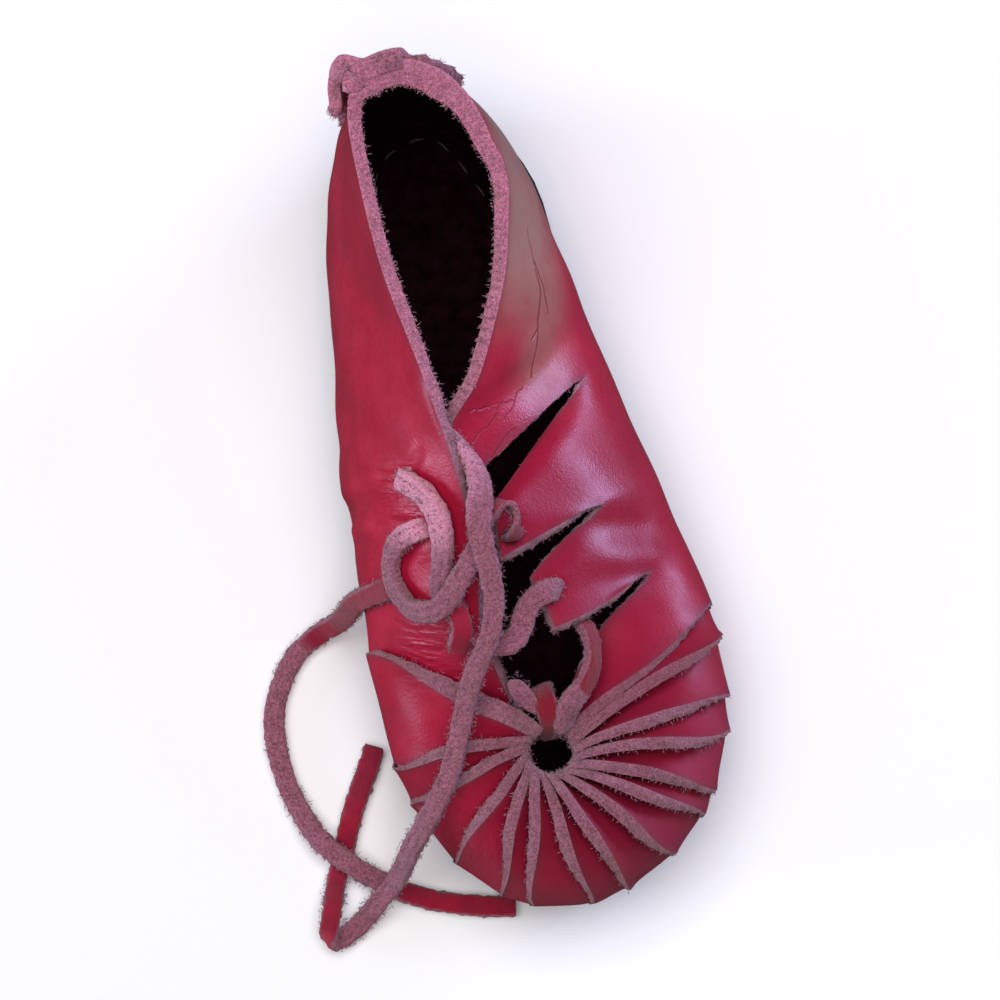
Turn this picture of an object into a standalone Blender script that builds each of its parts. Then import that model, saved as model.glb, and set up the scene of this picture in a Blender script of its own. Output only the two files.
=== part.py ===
"""Child's shoe folded from one piece of red leather, on a lugged rubber outsole. Wearer's left.

The toe points to -Y, the outer (lateral) side is +X, and the shoe stands on z = 0.
Sizes are in millimetres. MM turns them into metres where a mesh is made.
"""
from collections import namedtuple

import bpy
import numpy as np

MM = 0.001
GAP = 0.3
# Middle of the shoe's plan, which becomes the origin
ORIGIN = np.array([2.84, -0.53, 0.0])

# Driving sizes
LEATHER = 2.5
SOLE_TOP = 8.0
LUG_HEIGHT = 4.0
LUG_LENGTH = 11.5
LUG_PITCH = 20.3
LUG_PROUD = 0.3
LUG_DRAFT = 0.6
LUG_SINK = 0.8
CHANNEL = 7.0
LUG_SAMPLES = 6
TOE_SPRING = 5.0
SPRING_START = -58.0
SPRING_RUN = 28.0
ARCH_LIFT = 1.2
ARCH_FRONT = -18.0
ARCH_BACK = 34.0
ARCH_RUN = 12.0
BOTTOM_BAND = 6.0
BOTTOM_SPINE = 62.0
HOLE_CENTRE = np.array([0.0, -60.0, 33.5])
HOLE_RADIUS = 4.6

# The girth: the widest line round the upper, seen from above, from the heel's back round the outer side.
# inset: how far the feather line lies inside it. ledge: how far the sole stands out from the feather line.
# upright, reach and lift shape the wall above the girth.
Girth = namedtuple("Girth", "name x y z inset ledge upright reach lift")
GIRTH = [
    Girth("heel_back", -2.0, 84.0, 22, 4.0, 3.0, 16, 3.0, -18),
    Girth("heel_corner_outer", 7.6, 77.0, 22, 4.0, 7.0, 10, 3.0, -18),
    Girth("heel_outer", 15.3, 63.0, 21, 4.0, 7.4, 10, 4.0, -18),
    Girth("quarter_outer", 20.2, 42.0, 20, 4.5, 5.2, 16, 5.0, -15),
    Girth("waist_outer", 25.8, 16.0, 19, 5.0, 5.0, 16, 13.0, -3),
    Girth("instep_outer", 31.2, -8.0, 18, 5.0, 4.0, 15, 12.0, -2),
    Girth("ball_back_outer", 35.5, -26.0, 17, 5.5, 3.0, 13, 14.0, 2),
    Girth("ball_outer", 37.2, -44.0, 17, 6.0, 3.0, 12, 15.0, 3),
    Girth("toe_outer", 33.5, -64.0, 16, 6.0, 2.5, 11, 14.0, 3),
    Girth("toe_corner_outer", 22.0, -79.5, 15, 6.0, 2.0, 10, 12.0, 4),
    Girth("toe_tip_outer", 6.0, -87.2, 15, 6.0, 2.0, 10, 11.0, 4),
    Girth("toe_tip_inner", -10.0, -85.2, 15, 6.0, 2.0, 10, 11.0, 4),
    Girth("toe_corner_inner", -22.5, -73.5, 16, 6.0, 2.5, 11, 12.0, 4),
    Girth("ball_front_inner", -29.5, -57.0, 17, 6.0, 3.0, 12, 13.0, 3),
    Girth("ball_inner", -31.6, -38.0, 18, 5.5, 3.0, 13, 12.0, 3),
    Girth("vamp_inner", -30.8, -18.0, 19, 5.0, 3.0, 15, 11.0, 0),
    Girth("waist_inner", -30.8, 6.0, 20, 5.0, 3.5, 16, 11.0, -3),
    Girth("quarter_inner", -28.5, 32.0, 20, 4.5, 4.0, 16, 6.0, -12),
    Girth("heel_inner", -24.5, 62.0, 21, 4.0, 3.5, 16, 4.0, -18),
    Girth("heel_corner_inner", -16.5, 79.0, 22, 4.0, 3.0, 16, 3.0, -18),
]
ROUND = len(GIRTH)

# The free edge along the top: from the toe hole up the inner throat, round the collar and down the outer flap.
# station counts girth rows, and goes on past the last row behind the heel.
Edge = namedtuple("Edge", "station x y z")
COLLAR = [
    Edge(14.35, -6.0, -50.5, 35.0),
    Edge(14.9, -9.5, -38.0, 45.0),
    Edge(15.5, -8.0, -24.0, 52.0),
    Edge(16.1, -9.4, -8.0, 58.0),
    Edge(16.7, -13.0, 12.0, 61.5),
    Edge(17.3, -16.5, 30.0, 63.5),
    Edge(18.0, -18.0, 48.0, 66.5),
    Edge(19.0, -16.8, 65.4, 69.5),
    Edge(20.0, -7.0, 70.7, 70.0),
    Edge(21.0, 3.0, 65.9, 69.0),
    Edge(22.0, 8.5, 54.0, 67.0),
    Edge(22.9, 9.5, 38.0, 63.5),
    Edge(23.3, 4.8, 22.0, 60.0),
    Edge(23.5, -1.5, 9.0, 57.3),
    Edge(23.7, -8.5, 0.5, 54.5),
    Edge(23.92, -9.0, -11.0, 51.0),
]
STRAP_1 = [Edge(3.92, -2.5, -14.0, 52.0), Edge(4.95, -3.5, -25.0, 49.5)]
STRAP_2 = [Edge(4.95, 2.5, -28.0, 47.5), Edge(5.65, 4.5, -38.5, 43.0)]

# Slits that part the straps and the toe strips. root: row of the grid where a slit starts.
# rise: how far the edge before the slit stands above the edge after it.
Slit = namedtuple("Slit", "name station root rise")
STRAP_SLITS = [
    Slit("under_flap", 3.92, 6, 0.0),
    Slit("between_straps", 4.95, 8, 0.5),
    Slit("under_straps", 5.65, 7, 0.5),
]
TOE_STATIONS = [6.4, 6.75, 7.35, 7.7, 8.3, 8.6, 9.1, 9.7, 10.2, 10.9, 11.3, 11.95, 12.75, 13.2, 14.35]
TOE_ROOT = 2
TOE_RISE = 2.9
HOLE_START = 58.0
HOLE_END = -232.0
SLITS = STRAP_SLITS + [Slit("toe_%d" % (k + 1), s, TOE_ROOT, TOE_RISE) for k, s in enumerate(TOE_STATIONS)]

# Rows of the grid up the wall, from the feather line to the free edge
NORMAL_STEP = 0.004
GIRTH_ROW = 3
WALL_ROWS = 10
GIRTH_LEVEL = 0.22
LEVELS = np.concatenate([np.linspace(0, GIRTH_LEVEL, GIRTH_ROW, endpoint=False),
                         np.linspace(GIRTH_LEVEL, 1, WALL_ROWS + 1)])
SLIT_GAP = 1.6
RISE_RUN = 0.55
EDGE_DIP = 0.45
OPENING_RUN = 0.08
SLIT_SHARE = 0.25
STRIP_FLATNESS = 0.8
STRIP_COLUMNS = [0.0, 0.4, 0.75, 1.0]
STRAP_COLUMNS = 5
COLLAR_COLUMNS = 41
RIM_THINNING = 0.4
THINNING_LEVEL = 0.5
SKIVED_EDGE = 0.3
HEEL_LAYERS = 2.0
HEEL_LAP = 1.05
HEEL_LAP_LEVEL = 0.5
HEEL_LAP_EASE = 0.3

# Flap over the back of the heel, in girth stations to each side and levels up the wall
FLAP_FOOT = 0.1
FLAP_FOOT_INNER = -1.1
FLAP_FOOT_OUTER = 0.66
FLAP_TOP_INNER = -1.15
FLAP_TOP_OUTER = 0.55
FLAP_COLUMNS = 10
FLAP_ABOVE_RIM = 1.2
FLAP_CORNER_DROP = 0.6
# The flap's inner shoulder stands off the heel
FLAP_SHOULDER = 3.6


# Thongs: flat leather laces. A bend is a point of the middle line and the way its flat face looks.
THONG_WIDTH = 4.2
THONG_THICK = 2.2
THONG_STEP = 2.4
Bend = namedtuple("Bend", "x y z face_x face_y face_z")
THONGS = {
    # From the first inner hole over the flap and under the ring to a cut end
    "lace_tuck": [
        Bend(-19.5, -5.4, 48.4, -0.8, -0.1, 0.6),
        Bend(-17.5, -7.8, 51.5, -0.8, -0.2, 0.6),
        Bend(-15.1, -11.2, 53.3, -0.7, -0.3, 0.6),
        Bend(-13.6, -15.2, 53.4, -0.7, -0.3, 0.7),
        Bend(-13.5, -19.8, 51.6, -0.7, -0.3, 0.7),
        Bend(-14.6, -24.6, 48.1, -0.7, -0.3, 0.7),
        Bend(-15.4, -28.0, 46.0, -0.6, -0.3, 0.7),
        Bend(-13.5, -31.2, 46.1, -0.6, -0.3, 0.8),
        Bend(-12.6, -35.0, 45.8, -0.6, -0.2, 0.8),
        Bend(-14.2, -39.4, 43.4, -0.6, -0.2, 0.8),
    ],
    # From the second inner hole round in a ring, then across the throat to a curl on the first strap
    "lace_ring": [
        Bend(-17.9, -15.6, 46.9, -0.8, -0.2, 0.6),
        Bend(-20.2, -15.6, 44.4, -0.8, -0.2, 0.6),
        Bend(-22.2, -16.4, 42.0, -0.8, -0.2, 0.6),
        Bend(-23.6, -18.2, 39.9, -0.8, -0.2, 0.5),
        Bend(-24.2, -20.8, 38.6, -0.8, -0.2, 0.5),
        Bend(-23.9, -23.6, 38.4, -0.8, -0.2, 0.5),
        Bend(-22.9, -26.4, 39.4, -0.8, -0.3, 0.5),
        Bend(-21.4, -29.4, 42.2, -0.7, -0.4, 0.6),
        Bend(-19.0, -31.4, 46.0, -0.6, -0.4, 0.7),
        Bend(-16.5, -31.8, 48.3, -0.6, -0.4, 0.7),
        Bend(-13.6, -30.0, 50.4, -0.6, -0.3, 0.7),
        Bend(-11.4, -27.4, 51.8, -0.5, -0.3, 0.8),
        Bend(-8.5, -24.4, 53.8, -0.4, -0.3, 0.9),
        Bend(-5.6, -20.4, 54.4, 0.0, -0.3, 1.0),
        Bend(-3.8, -17.2, 54.3, 0.6, -0.6, 0.5),
        Bend(-1.8, -15.2, 54.2, 0.3, -0.9, 0.1),
        Bend(0.3, -15.6, 53.8, -0.6, -0.8, 0.0),
        Bend(1.2, -17.8, 53.2, -1.0, 0.1, 0.0),
        Bend(0.3, -20.2, 52.8, -0.6, 0.8, 0.0),
    ],
    # From the second strap's hole across the throat to the inner edge
    "lace_bar": [
        Bend(5.0, -31.6, 47.4, 0.4, -0.2, 0.9),
        Bend(2.1, -32.7, 47.6, 0.2, -0.2, 1.0),
        Bend(-0.1, -34.6, 47.0, 0.0, 0.0, 1.0),
        Bend(-1.4, -37.2, 46.4, 0.0, 0.0, 1.0),
        Bend(-3.0, -39.4, 46.0, 0.0, 0.2, 1.0),
        Bend(-5.2, -40.2, 46.0, -0.2, 0.2, 1.0),
        Bend(-7.2, -39.2, 46.2, -0.3, 0.0, 0.9),
    ],
    # Long end: up from beside the inner rim, down the throat, over the toe and folded back on the floor
    "lace_end_long": [
        Bend(-4.6, -10.4, 57.2, 0.5, 0.1, 0.9),
        Bend(-5.6, -16.0, 58.8, 0.1, 0.0, 1.0),
        Bend(-6.4, -20.2, 58.8, -0.1, -0.3, 1.0),
        Bend(-6.2, -24.1, 57.8, -0.2, -0.4, 0.9),
        Bend(-5.8, -28.2, 56.0, -0.2, -0.5, 0.8),
        Bend(-5.8, -32.0, 53.6, -0.2, -0.5, 0.8),
        Bend(-6.6, -36.0, 51.8, -0.2, -0.4, 0.9),
        Bend(-8.2, -39.8, 50.4, -0.2, -0.4, 0.9),
        Bend(-11.2, -43.7, 47.0, -0.3, -0.5, 0.8),
        Bend(-14.6, -49.8, 41.2, -0.3, -0.4, 0.8),
        Bend(-16.8, -55.0, 39.0, -0.3, -0.3, 0.9),
        Bend(-20.0, -61.7, 36.8, -0.5, -0.3, 0.8),
        Bend(-24.8, -67.6, 32.0, -0.6, -0.4, 0.6),
        Bend(-29.4, -71.6, 22.5, -0.7, -0.4, 0.5),
        Bend(-32.2, -74.0, 13.0, -0.7, -0.3, 0.6),
        Bend(-34.6, -75.8, 7.6, -0.5, -0.2, 0.8),
        Bend(-37.8, -78.0, 5.0, -0.2, -0.1, 1.0),
        Bend(-41.0, -80.4, 2.4, 0.0, 0.0, 1.0),
        Bend(-44.6, -82.6, 1.5, 0.0, 0.0, 1.0),
        Bend(-47.4, -83.8, 2.0, 0.4, 0.4, 0.9),
        Bend(-48.6, -83.4, 3.4, 0.7, 0.4, 0.0),
        Bend(-48.2, -81.6, 4.8, 0.2, 0.2, -0.9),
        Bend(-47.0, -77.4, 4.2, 0.0, 0.0, -1.0),
        Bend(-45.6, -72.4, 1.8, 0.0, 0.0, -1.0),
        Bend(-43.0, -66.0, 1.5, 0.0, 0.0, -1.0),
        Bend(-39.8, -58.4, 1.5, 0.0, 0.0, -1.0),
        Bend(-36.4, -52.0, 1.5, 0.0, 0.0, -1.0),
        Bend(-33.6, -46.5, 1.5, 0.0, 0.0, -1.0),
    ],
    # Short end: from under the ring down the inner side and round on the floor to the toe
    "lace_end_short": [
        Bend(-26.0, -23.2, 35.2, -0.8, 0.0, 0.5),
        Bend(-28.1, -22.9, 32.3, -0.8, 0.0, 0.5),
        Bend(-31.6, -22.2, 26.2, -0.9, 0.0, 0.4),
        Bend(-33.4, -21.8, 19.5, -1.0, 0.0, 0.2),
        Bend(-34.8, -21.4, 12.5, -1.0, 0.0, 0.2),
        Bend(-36.8, -21.2, 6.2, -0.9, 0.0, 0.4),
        Bend(-40.6, -21.8, 2.2, -0.4, 0.0, 0.9),
        Bend(-45.3, -24.4, 1.5, 0.0, 0.0, 1.0),
        Bend(-49.6, -29.7, 1.5, 0.0, 0.0, 1.0),
        Bend(-52.2, -35.5, 1.5, 0.0, 0.0, 1.0),
        Bend(-53.0, -43.7, 1.5, 0.0, 0.0, 1.0),
        Bend(-51.8, -52.2, 1.5, 0.0, 0.0, 1.0),
        Bend(-49.6, -58.7, 2.4, 0.0, 0.0, 1.0),
        Bend(-47.4, -63.5, 4.0, 0.0, 0.0, 1.0),
        Bend(-44.6, -67.0, 4.4, 0.0, 0.0, 1.0),
        Bend(-41.2, -70.4, 4.2, 0.0, 0.0, 1.0),
        Bend(-36.8, -73.6, 2.0, 0.0, 0.0, 1.0),
        Bend(-30.6, -77.4, 1.4, 0.0, 0.0, 1.0),
        Bend(-23.8, -80.2, 1.4, 0.0, 0.0, 1.0),
        Bend(-17.2, -82.0, 1.4, 0.0, 0.0, 1.0),
        Bend(-11.2, -83.0, 1.4, 0.0, 0.0, 1.0),
    ],
    # Drawstring of the toe strips: out from under the second strap and round to the toe hole
    "toe_thong": [
        Bend(9.4, -35.7, 36.8, 0.4, 0.5, 0.7),
        Bend(10.9, -38.6, 39.2, 0.6, 0.3, 0.7),
        Bend(11.2, -42.6, 40.2, 0.7, 0.0, 0.7),
        Bend(10.2, -46.6, 40.6, 0.7, -0.1, 0.7),
        Bend(7.9, -50.0, 40.6, 0.6, -0.3, 0.7),
        Bend(5.4, -52.2, 40.4, 0.5, -0.4, 0.8),
    ],
    # Its knot: a band over the strips' lip into the hole
    "toe_knot": [
        Bend(0.0, -47.2, 34.4, 0.0, 0.8, 0.6),
        Bend(0.0, -48.6, 37.4, 0.0, 0.6, 0.8),
        Bend(0.2, -50.8, 39.6, 0.0, 0.0, 1.0),
        Bend(0.4, -53.6, 39.2, 0.0, -0.4, 0.9),
        Bend(0.4, -55.5, 36.9, 0.0, -0.9, 0.4),
        Bend(0.3, -56.2, 33.2, 0.0, -1.0, 0.0),
        Bend(0.2, -56.4, 29.5, 0.0, -1.0, 0.0),
    ],
    # The knot's cut end
    "toe_end": [
        Bend(-4.2, -50.4, 39.2, 0.1, 0.1, 1.0),
        Bend(-5.4, -48.6, 40.2, 0.1, 0.1, 1.0),
        Bend(-6.8, -46.2, 41.2, 0.1, 0.1, 1.0),
    ],
}
# Holes for the thongs in the inner flap and the straps: on the grain side, with the way out and the long way
Hole = namedtuple("Hole", "x y z out_x out_y out_z long_x long_y long_z")
HOLES = [
    Hole(-17.9, -5.2, 47.2, -0.8, -0.1, 0.6, 0.2, 0.9, 0.4),
    Hole(-16.5, -15.3, 45.7, -0.8, -0.2, 0.6, 0.0, 1.0, 0.3),
    Hole(-0.4, -20.6, 49.8, 0.4, -0.2, 0.9, 1.0, 0.2, -0.4),
    Hole(5.2, -31.2, 45.1, 0.4, -0.2, 0.9, 0.3, 0.9, 0.1),
]
HOLE_LONG = 5.6
HOLE_WIDE = 2.8
HOLE_DEEP = 9.0


def smooth_step(x):
    x = np.clip(x, 0, 1)
    return x * x * (3 - 2 * x)


def spline(stations, values, at, period=None):
    """Cubic through the rows, with tangents taken from the neighbours on both sides."""
    stations = np.asarray(stations, float)
    values = np.asarray(values, float)
    if period:
        stations = np.concatenate([stations[-2:] - period, stations, stations[:2] + period])
        values = np.concatenate([values[-2:], values, values[:2]])
        at = (at - stations[2]) % period + stations[2]
    slopes = np.gradient(values, stations, axis=0)
    k = int(np.clip(np.searchsorted(stations, at, side="right") - 1, 0, len(stations) - 2))
    step = stations[k + 1] - stations[k]
    t = (at - stations[k]) / step
    return ((1 + 2 * t) * (1 - t) ** 2 * values[k] + t * (1 - t) ** 2 * step * slopes[k]
            + t * t * (3 - 2 * t) * values[k + 1] + t * t * (t - 1) * step * slopes[k + 1])


def girth_at(station):
    """Girth row at any station, without its name."""
    return spline(range(ROUND), [row[1:] for row in GIRTH], station, ROUND)


def outward_at(station):
    """Unit vector in plan, pointing away from the shoe."""
    ahead = girth_at(station + 0.05)[:2]
    behind = girth_at(station - 0.05)[:2]
    along = ahead - behind
    return np.array([-along[1], along[0], 0]) / np.hypot(*along)


def ground_lift(y):
    """Height of the sole's underside: a toe spring in front and a slight arch at the waist."""
    spring = TOE_SPRING * np.clip((SPRING_START - y) / SPRING_RUN, 0, 1) ** 2
    arch = ARCH_LIFT * smooth_step((y - ARCH_FRONT) / ARCH_RUN) * smooth_step((ARCH_BACK - y) / ARCH_RUN)
    return spring + arch


def edge_at(station, panel):
    """Free edge of a panel at a station."""
    if panel == "collar":
        return spline([row.station for row in COLLAR], [row[1:] for row in COLLAR], station)
    if panel in ("strap_1", "strap_2"):
        first, last = STRAP_1 if panel == "strap_1" else STRAP_2
        share = (station - first.station) / (last.station - first.station)
        return np.array(first[1:]) * (1 - share) + np.array(last[1:]) * share
    place = np.interp(station, [STRAP_SLITS[2].station] + TOE_STATIONS, np.arange(len(TOE_STATIONS) + 1))
    angle = np.radians(HOLE_START + (HOLE_END - HOLE_START) * place / len(TOE_STATIONS))
    return HOLE_CENTRE + HOLE_RADIUS * np.array([np.cos(angle), np.sin(angle), 0])


def rib(station, level, edge):
    """Point on the grain side: a rounded turn from the feather line to the girth, then the wall to its edge."""
    x, y, z, inset, _, upright, reach, lift = girth_at(station)
    girth = np.array([x, y, z])
    if level <= GIRTH_LEVEL:
        turn = level / GIRTH_LEVEL * np.pi / 2
        feather = girth - inset * outward_at(station)
        floor = SOLE_TOP + GAP + ground_lift(feather[1])
        point = feather + inset * np.sin(turn) * outward_at(station)
        point[2] = z + ground_lift(y) - (z + ground_lift(y) - floor) * np.cos(turn)
        return point
    girth[2] += ground_lift(y)
    t = (level - GIRTH_LEVEL) / (1 - GIRTH_LEVEL)
    inward = girth - edge
    inward[2] = 0
    low = girth + np.array([0, 0, upright])
    high = edge + reach * inward / np.linalg.norm(inward) + np.array([0, 0, lift])
    return (1 - t) ** 3 * girth + 3 * t * (1 - t) ** 2 * low + 3 * t * t * (1 - t) * high + t ** 3 * edge


def panel_names():
    return ["collar", "strap_1", "strap_2"] + ["strip_%d" % k for k in range(len(TOE_STATIONS))]


class Panel:
    """Stretch of the upper between two slits. share runs from 0 at its first slit to 1 at its last."""

    def __init__(self, name, first, last):
        self.name = name
        self.first = first
        self.last = last
        self.start = first.station - (ROUND if first.station > last.station else 0)
        self.end = last.station

    def station(self, share):
        return self.start + (self.end - self.start) * share

    def own_edge(self, share):
        station = self.station(share)
        if self.name == "collar":
            station += ROUND
        return edge_at(station, self.name)


def make_panels():
    names = panel_names()
    panels = []
    for k, name in enumerate(names):
        panels.append(Panel(name, SLITS[k - 1], SLITS[k]))
    for k, panel in enumerate(panels):
        after = panels[(k + 1) % len(panels)]
        panel.end_corner = (panel.own_edge(1) + after.own_edge(0)) / 2
        after.start_corner = panel.end_corner
    return panels


def opened(slit, level):
    """Share of its full opening that a slit has at a level."""
    root = LEVELS[slit.root]
    return np.clip((level - root) / (1 - root), 0, 1)


def skin(panel, share, level, lift=0.0):
    """Point of a panel's grain side, lifted off it along its normal."""
    def curved(part, height):
        edge = panel.own_edge(part)
        edge = edge + (1 - part) * (1 - opened(panel.first, height)) * (panel.start_corner - panel.own_edge(0))
        edge = edge + part * (1 - opened(panel.last, height)) * (panel.end_corner - panel.own_edge(1))
        return rib(panel.station(part), height, edge)

    def plain(part, height):
        if not panel.name.startswith("strip"):
            return curved(part, height)
        flat = (1 - part) * curved(0, height) + part * curved(1, height)
        return (1 - STRIP_FLATNESS) * curved(part, height) + STRIP_FLATNESS * flat

    small = NORMAL_STEP
    point = plain(share, level)
    across = (plain(share + small, level) - plain(share - small, level)) / (2 * small)
    upward = plain(share, min(level + small, 1)) - plain(share, level - small)
    normal = np.cross(upward, across)
    normal = normal / np.linalg.norm(normal)
    first_open = smooth_step((level - LEVELS[panel.first.root]) / OPENING_RUN)
    last_open = smooth_step((level - LEVELS[panel.last.root]) / OPENING_RUN)
    length = np.linalg.norm(across)
    half_gap = min(SLIT_GAP, SLIT_SHARE * length) / 2
    shift = half_gap * ((1 - share) * first_open - share * last_open) / length
    point = point + across * shift
    first_rise = np.clip((level - LEVELS[panel.first.root]) / RISE_RUN, 0, 1)
    last_rise = np.clip((level - LEVELS[panel.last.root]) / RISE_RUN, 0, 1)
    rise = panel.last.rise * last_rise * share ** 2 - EDGE_DIP * panel.first.rise * first_rise * (1 - share) ** 2
    return point + normal * (rise + lift)


def new_material(name, colour, roughness):
    material = bpy.data.materials.new(name)
    material.use_nodes = True
    shader = material.node_tree.nodes["Principled BSDF"]
    shader.inputs["Base Color"].default_value = (*colour, 1)
    shader.inputs["Roughness"].default_value = roughness
    return material


def new_object(name, points, faces, material):
    mesh = bpy.data.meshes.new(name)
    mesh.from_pydata([tuple(np.asarray(p) * MM) for p in points], [], faces)
    mesh.materials.append(material)
    mesh.validate()
    piece = bpy.data.objects.new(name, mesh)
    piece.location = -ORIGIN * MM
    bpy.context.scene.collection.objects.link(piece)
    return piece


def columns_of(panel):
    if panel.name == "collar":
        return np.linspace(0, 1, COLLAR_COLUMNS)
    if panel.name.startswith("strap"):
        return np.linspace(0, 1, STRAP_COLUMNS)
    return STRIP_COLUMNS


def make_upper(panels, material):
    points = []
    faces = []
    thickness = []
    rows = len(LEVELS)

    def add(point, factor):
        points.append(point)
        thickness.append(factor)
        return len(points) - 1

    def layers_at(panel, share, level):
        if panel.name == "collar":
            across = smooth_step((HEEL_LAP - abs(panel.station(share))) / HEEL_LAP_EASE)
            return 1 + (HEEL_LAYERS - 1) * across * smooth_step((level - HEEL_LAP_LEVEL) / HEEL_LAP_EASE)
        if panel.name.startswith("strap"):
            return 1.0
        skived = share == 0 and level > LEVELS[panel.first.root]
        thinned = smooth_step((level - THINNING_LEVEL) / (1 - THINNING_LEVEL))
        return min(1 - (1 - RIM_THINNING) * thinned, SKIVED_EDGE if skived else 1.0)

    ring = []
    first_column = None
    column = None
    for number, panel in enumerate(panels):
        shares = columns_of(panel)
        for share in shares:
            before = column
            column = []
            for row in range(rows):
                level = LEVELS[row]
                shared = share == 0 and number > 0 and row <= panel.first.root
                closing = share == 1 and number == len(panels) - 1 and row <= panel.last.root
                if shared:
                    column.append(before[row])
                elif closing:
                    column.append(first_column[row])
                else:
                    column.append(add(skin(panel, share, level), layers_at(panel, share, level) / HEEL_LAYERS))
            if first_column is None:
                first_column = column
            if share > 0:
                for row in range(rows - 1):
                    corners = [before[row], before[row + 1], column[row + 1], column[row]]
                    faces.append(corners)
                ring.append(before[0])
    inner = [add(point, 1 / HEEL_LAYERS) for point in bottom_ring(panels)[1]]
    faces += band(ring, inner)
    faces += rungs(inner, points)
    piece = new_object("upper", points, faces, material)
    group = piece.vertex_groups.new(name="wall")
    for index, factor in enumerate(thickness):
        group.add([index], factor, "REPLACE")
    wall = piece.modifiers.new("wall", "SOLIDIFY")
    wall.thickness = HEEL_LAYERS * LEATHER * MM
    wall.offset = -1
    wall.use_even_offset = True
    wall.use_quality_normals = True
    wall.vertex_group = "wall"
    return piece


def ring_columns(panels):
    """Panel and share of every column round the feather line, each once."""
    return [(panel, share) for panel in panels for share in columns_of(panel)[:-1]]


def bottom_ring(panels):
    """The feather line and a second line inside it, on which the leather bottom lies flat."""
    feather = np.array([skin(panel, share, 0) for panel, share in ring_columns(panels)])
    centre = feather.mean(axis=0)
    inner = []
    for point in feather:
        middle = np.array([centre[0], np.clip(point[1], -BOTTOM_SPINE, BOTTOM_SPINE), 0])
        inward = middle - point
        inward[2] = 0
        place = point + BOTTOM_BAND * inward / np.linalg.norm(inward)
        place[2] = SOLE_TOP + GAP + ground_lift(place[1])
        inner.append(place)
    return feather, np.array(inner)


def halves(corners):
    """Triangles of a face, split from its first corner, so that faces 0.3 mm apart split alike."""
    return [[corners[0], corners[k], corners[k + 1]] for k in range(1, len(corners) - 1)]


def rungs(ring, points):
    """Faces across a closed ring, from its outer side to its inner side."""
    count = len(ring)
    heel = int(np.argmax([points[k][1] for k in ring]))
    order = [ring[(heel + k) % count] for k in range(count)]
    faces = []
    for k in range(count // 2):
        corners = [order[k], order[k + 1], order[(count - k - 1) % count], order[(count - k) % count]]
        faces += halves(list(dict.fromkeys(corners)))
    return faces


def band(first, second):
    """Faces between two closed rings of the same length."""
    count = len(first)
    faces = []
    for k in range(count):
        after = (k + 1) % count
        faces += halves([first[k], first[after], second[after], second[k]])
    return faces


def make_outsole(panels, material):
    feather, inner = bottom_ring(panels)
    stations = [panel.station(share) for panel, share in ring_columns(panels)]
    outline = np.array([point + girth_at(s)[4] * outward_at(s) for point, s in zip(feather, stations)])
    lifts = np.array([ground_lift(y) for y in outline[:, 1]])
    under = np.column_stack([outline[:, :2], lifts + LUG_HEIGHT])
    over = np.column_stack([outline[:, :2], feather[:, 2] - GAP])
    drop = np.array([0, 0, GAP])
    points = list(under) + list(over) + list(feather - drop) + list(inner - drop)
    count = len(outline)
    rings = [list(range(k * count, (k + 1) * count)) for k in range(4)]
    faces = rungs(rings[0], points)
    for first, second in zip(rings, rings[1:]):
        faces += [face[::-1] for face in band(first, second)]
    faces += [face[::-1] for face in rungs(rings[3], points)]
    plate = new_object("outsole", points, faces, material)
    lugs = make_lugs(outline, material)
    union = plate.modifiers.new("lugs", "BOOLEAN")
    union.operation = "UNION"
    union.solver = "EXACT"
    union.object = lugs
    return plate


def make_lugs(outline, material):
    """Two rows of blocks under the plate, with a channel between them."""
    heel = int(np.argmax(outline[:, 1]))
    turned = np.roll(outline, -heel, axis=0)
    toe = int(np.argmin(turned[:, 1]))
    outer = turned[:toe + 1][::-1]
    inner = turned[toe:]
    top = outline[:, 1].max() - LUG_DRAFT
    bottom = outline[:, 1].min() + LUG_DRAFT
    rows = int((top - bottom + LUG_PITCH - LUG_LENGTH) // LUG_PITCH)
    pitch = (top - bottom - LUG_LENGTH) / (rows - 1)
    points = []
    faces = []
    for row in range(rows):
        back = top - row * pitch
        ys = np.linspace(back, back - LUG_LENGTH, LUG_SAMPLES)
        for side, edge in ((1, outer), (-1, inner)):
            middle = (np.interp(ys, outer[:, 1], outer[:, 0]) + np.interp(ys, inner[:, 1], inner[:, 0])) / 2
            near = middle + side * CHANNEL / 2
            far = np.interp(ys, edge[:, 1], edge[:, 0]) + side * LUG_PROUD
            far = side * np.maximum(side * far, side * near + 2 * LUG_DRAFT)
            add_lug(points, faces, ys, near, far, side)
    lugs = new_object("lugs", points, faces, material)
    lugs.hide_render = True
    lugs.display_type = "WIRE"
    return lugs


def add_lug(points, faces, ys, near, far, side):
    """One block, a little smaller at the ground than at the plate."""
    first = len(points)
    count = len(ys)
    drafted = ys + LUG_DRAFT * np.linspace(-1, 1, count)
    lift = np.array([ground_lift(y) for y in ys])
    for xs, rows, height in ((near + side * LUG_DRAFT, drafted, 0), (far - side * LUG_DRAFT, drafted, 0),
                             (far, ys, LUG_HEIGHT + LUG_SINK), (near, ys, LUG_HEIGHT + LUG_SINK)):
        points.extend(np.column_stack([xs, rows, lift + height]))
    loops = [[first + k * count + n for k in range(4)] for n in range(count)]
    walls = [loops[0], loops[-1][::-1]]
    for n in range(count - 1):
        for k in range(4):
            walls.append([loops[n][k], loops[n + 1][k], loops[n + 1][(k + 1) % 4], loops[n][(k + 1) % 4]])
    faces.extend(wall if side > 0 else wall[::-1] for wall in walls)


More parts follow.
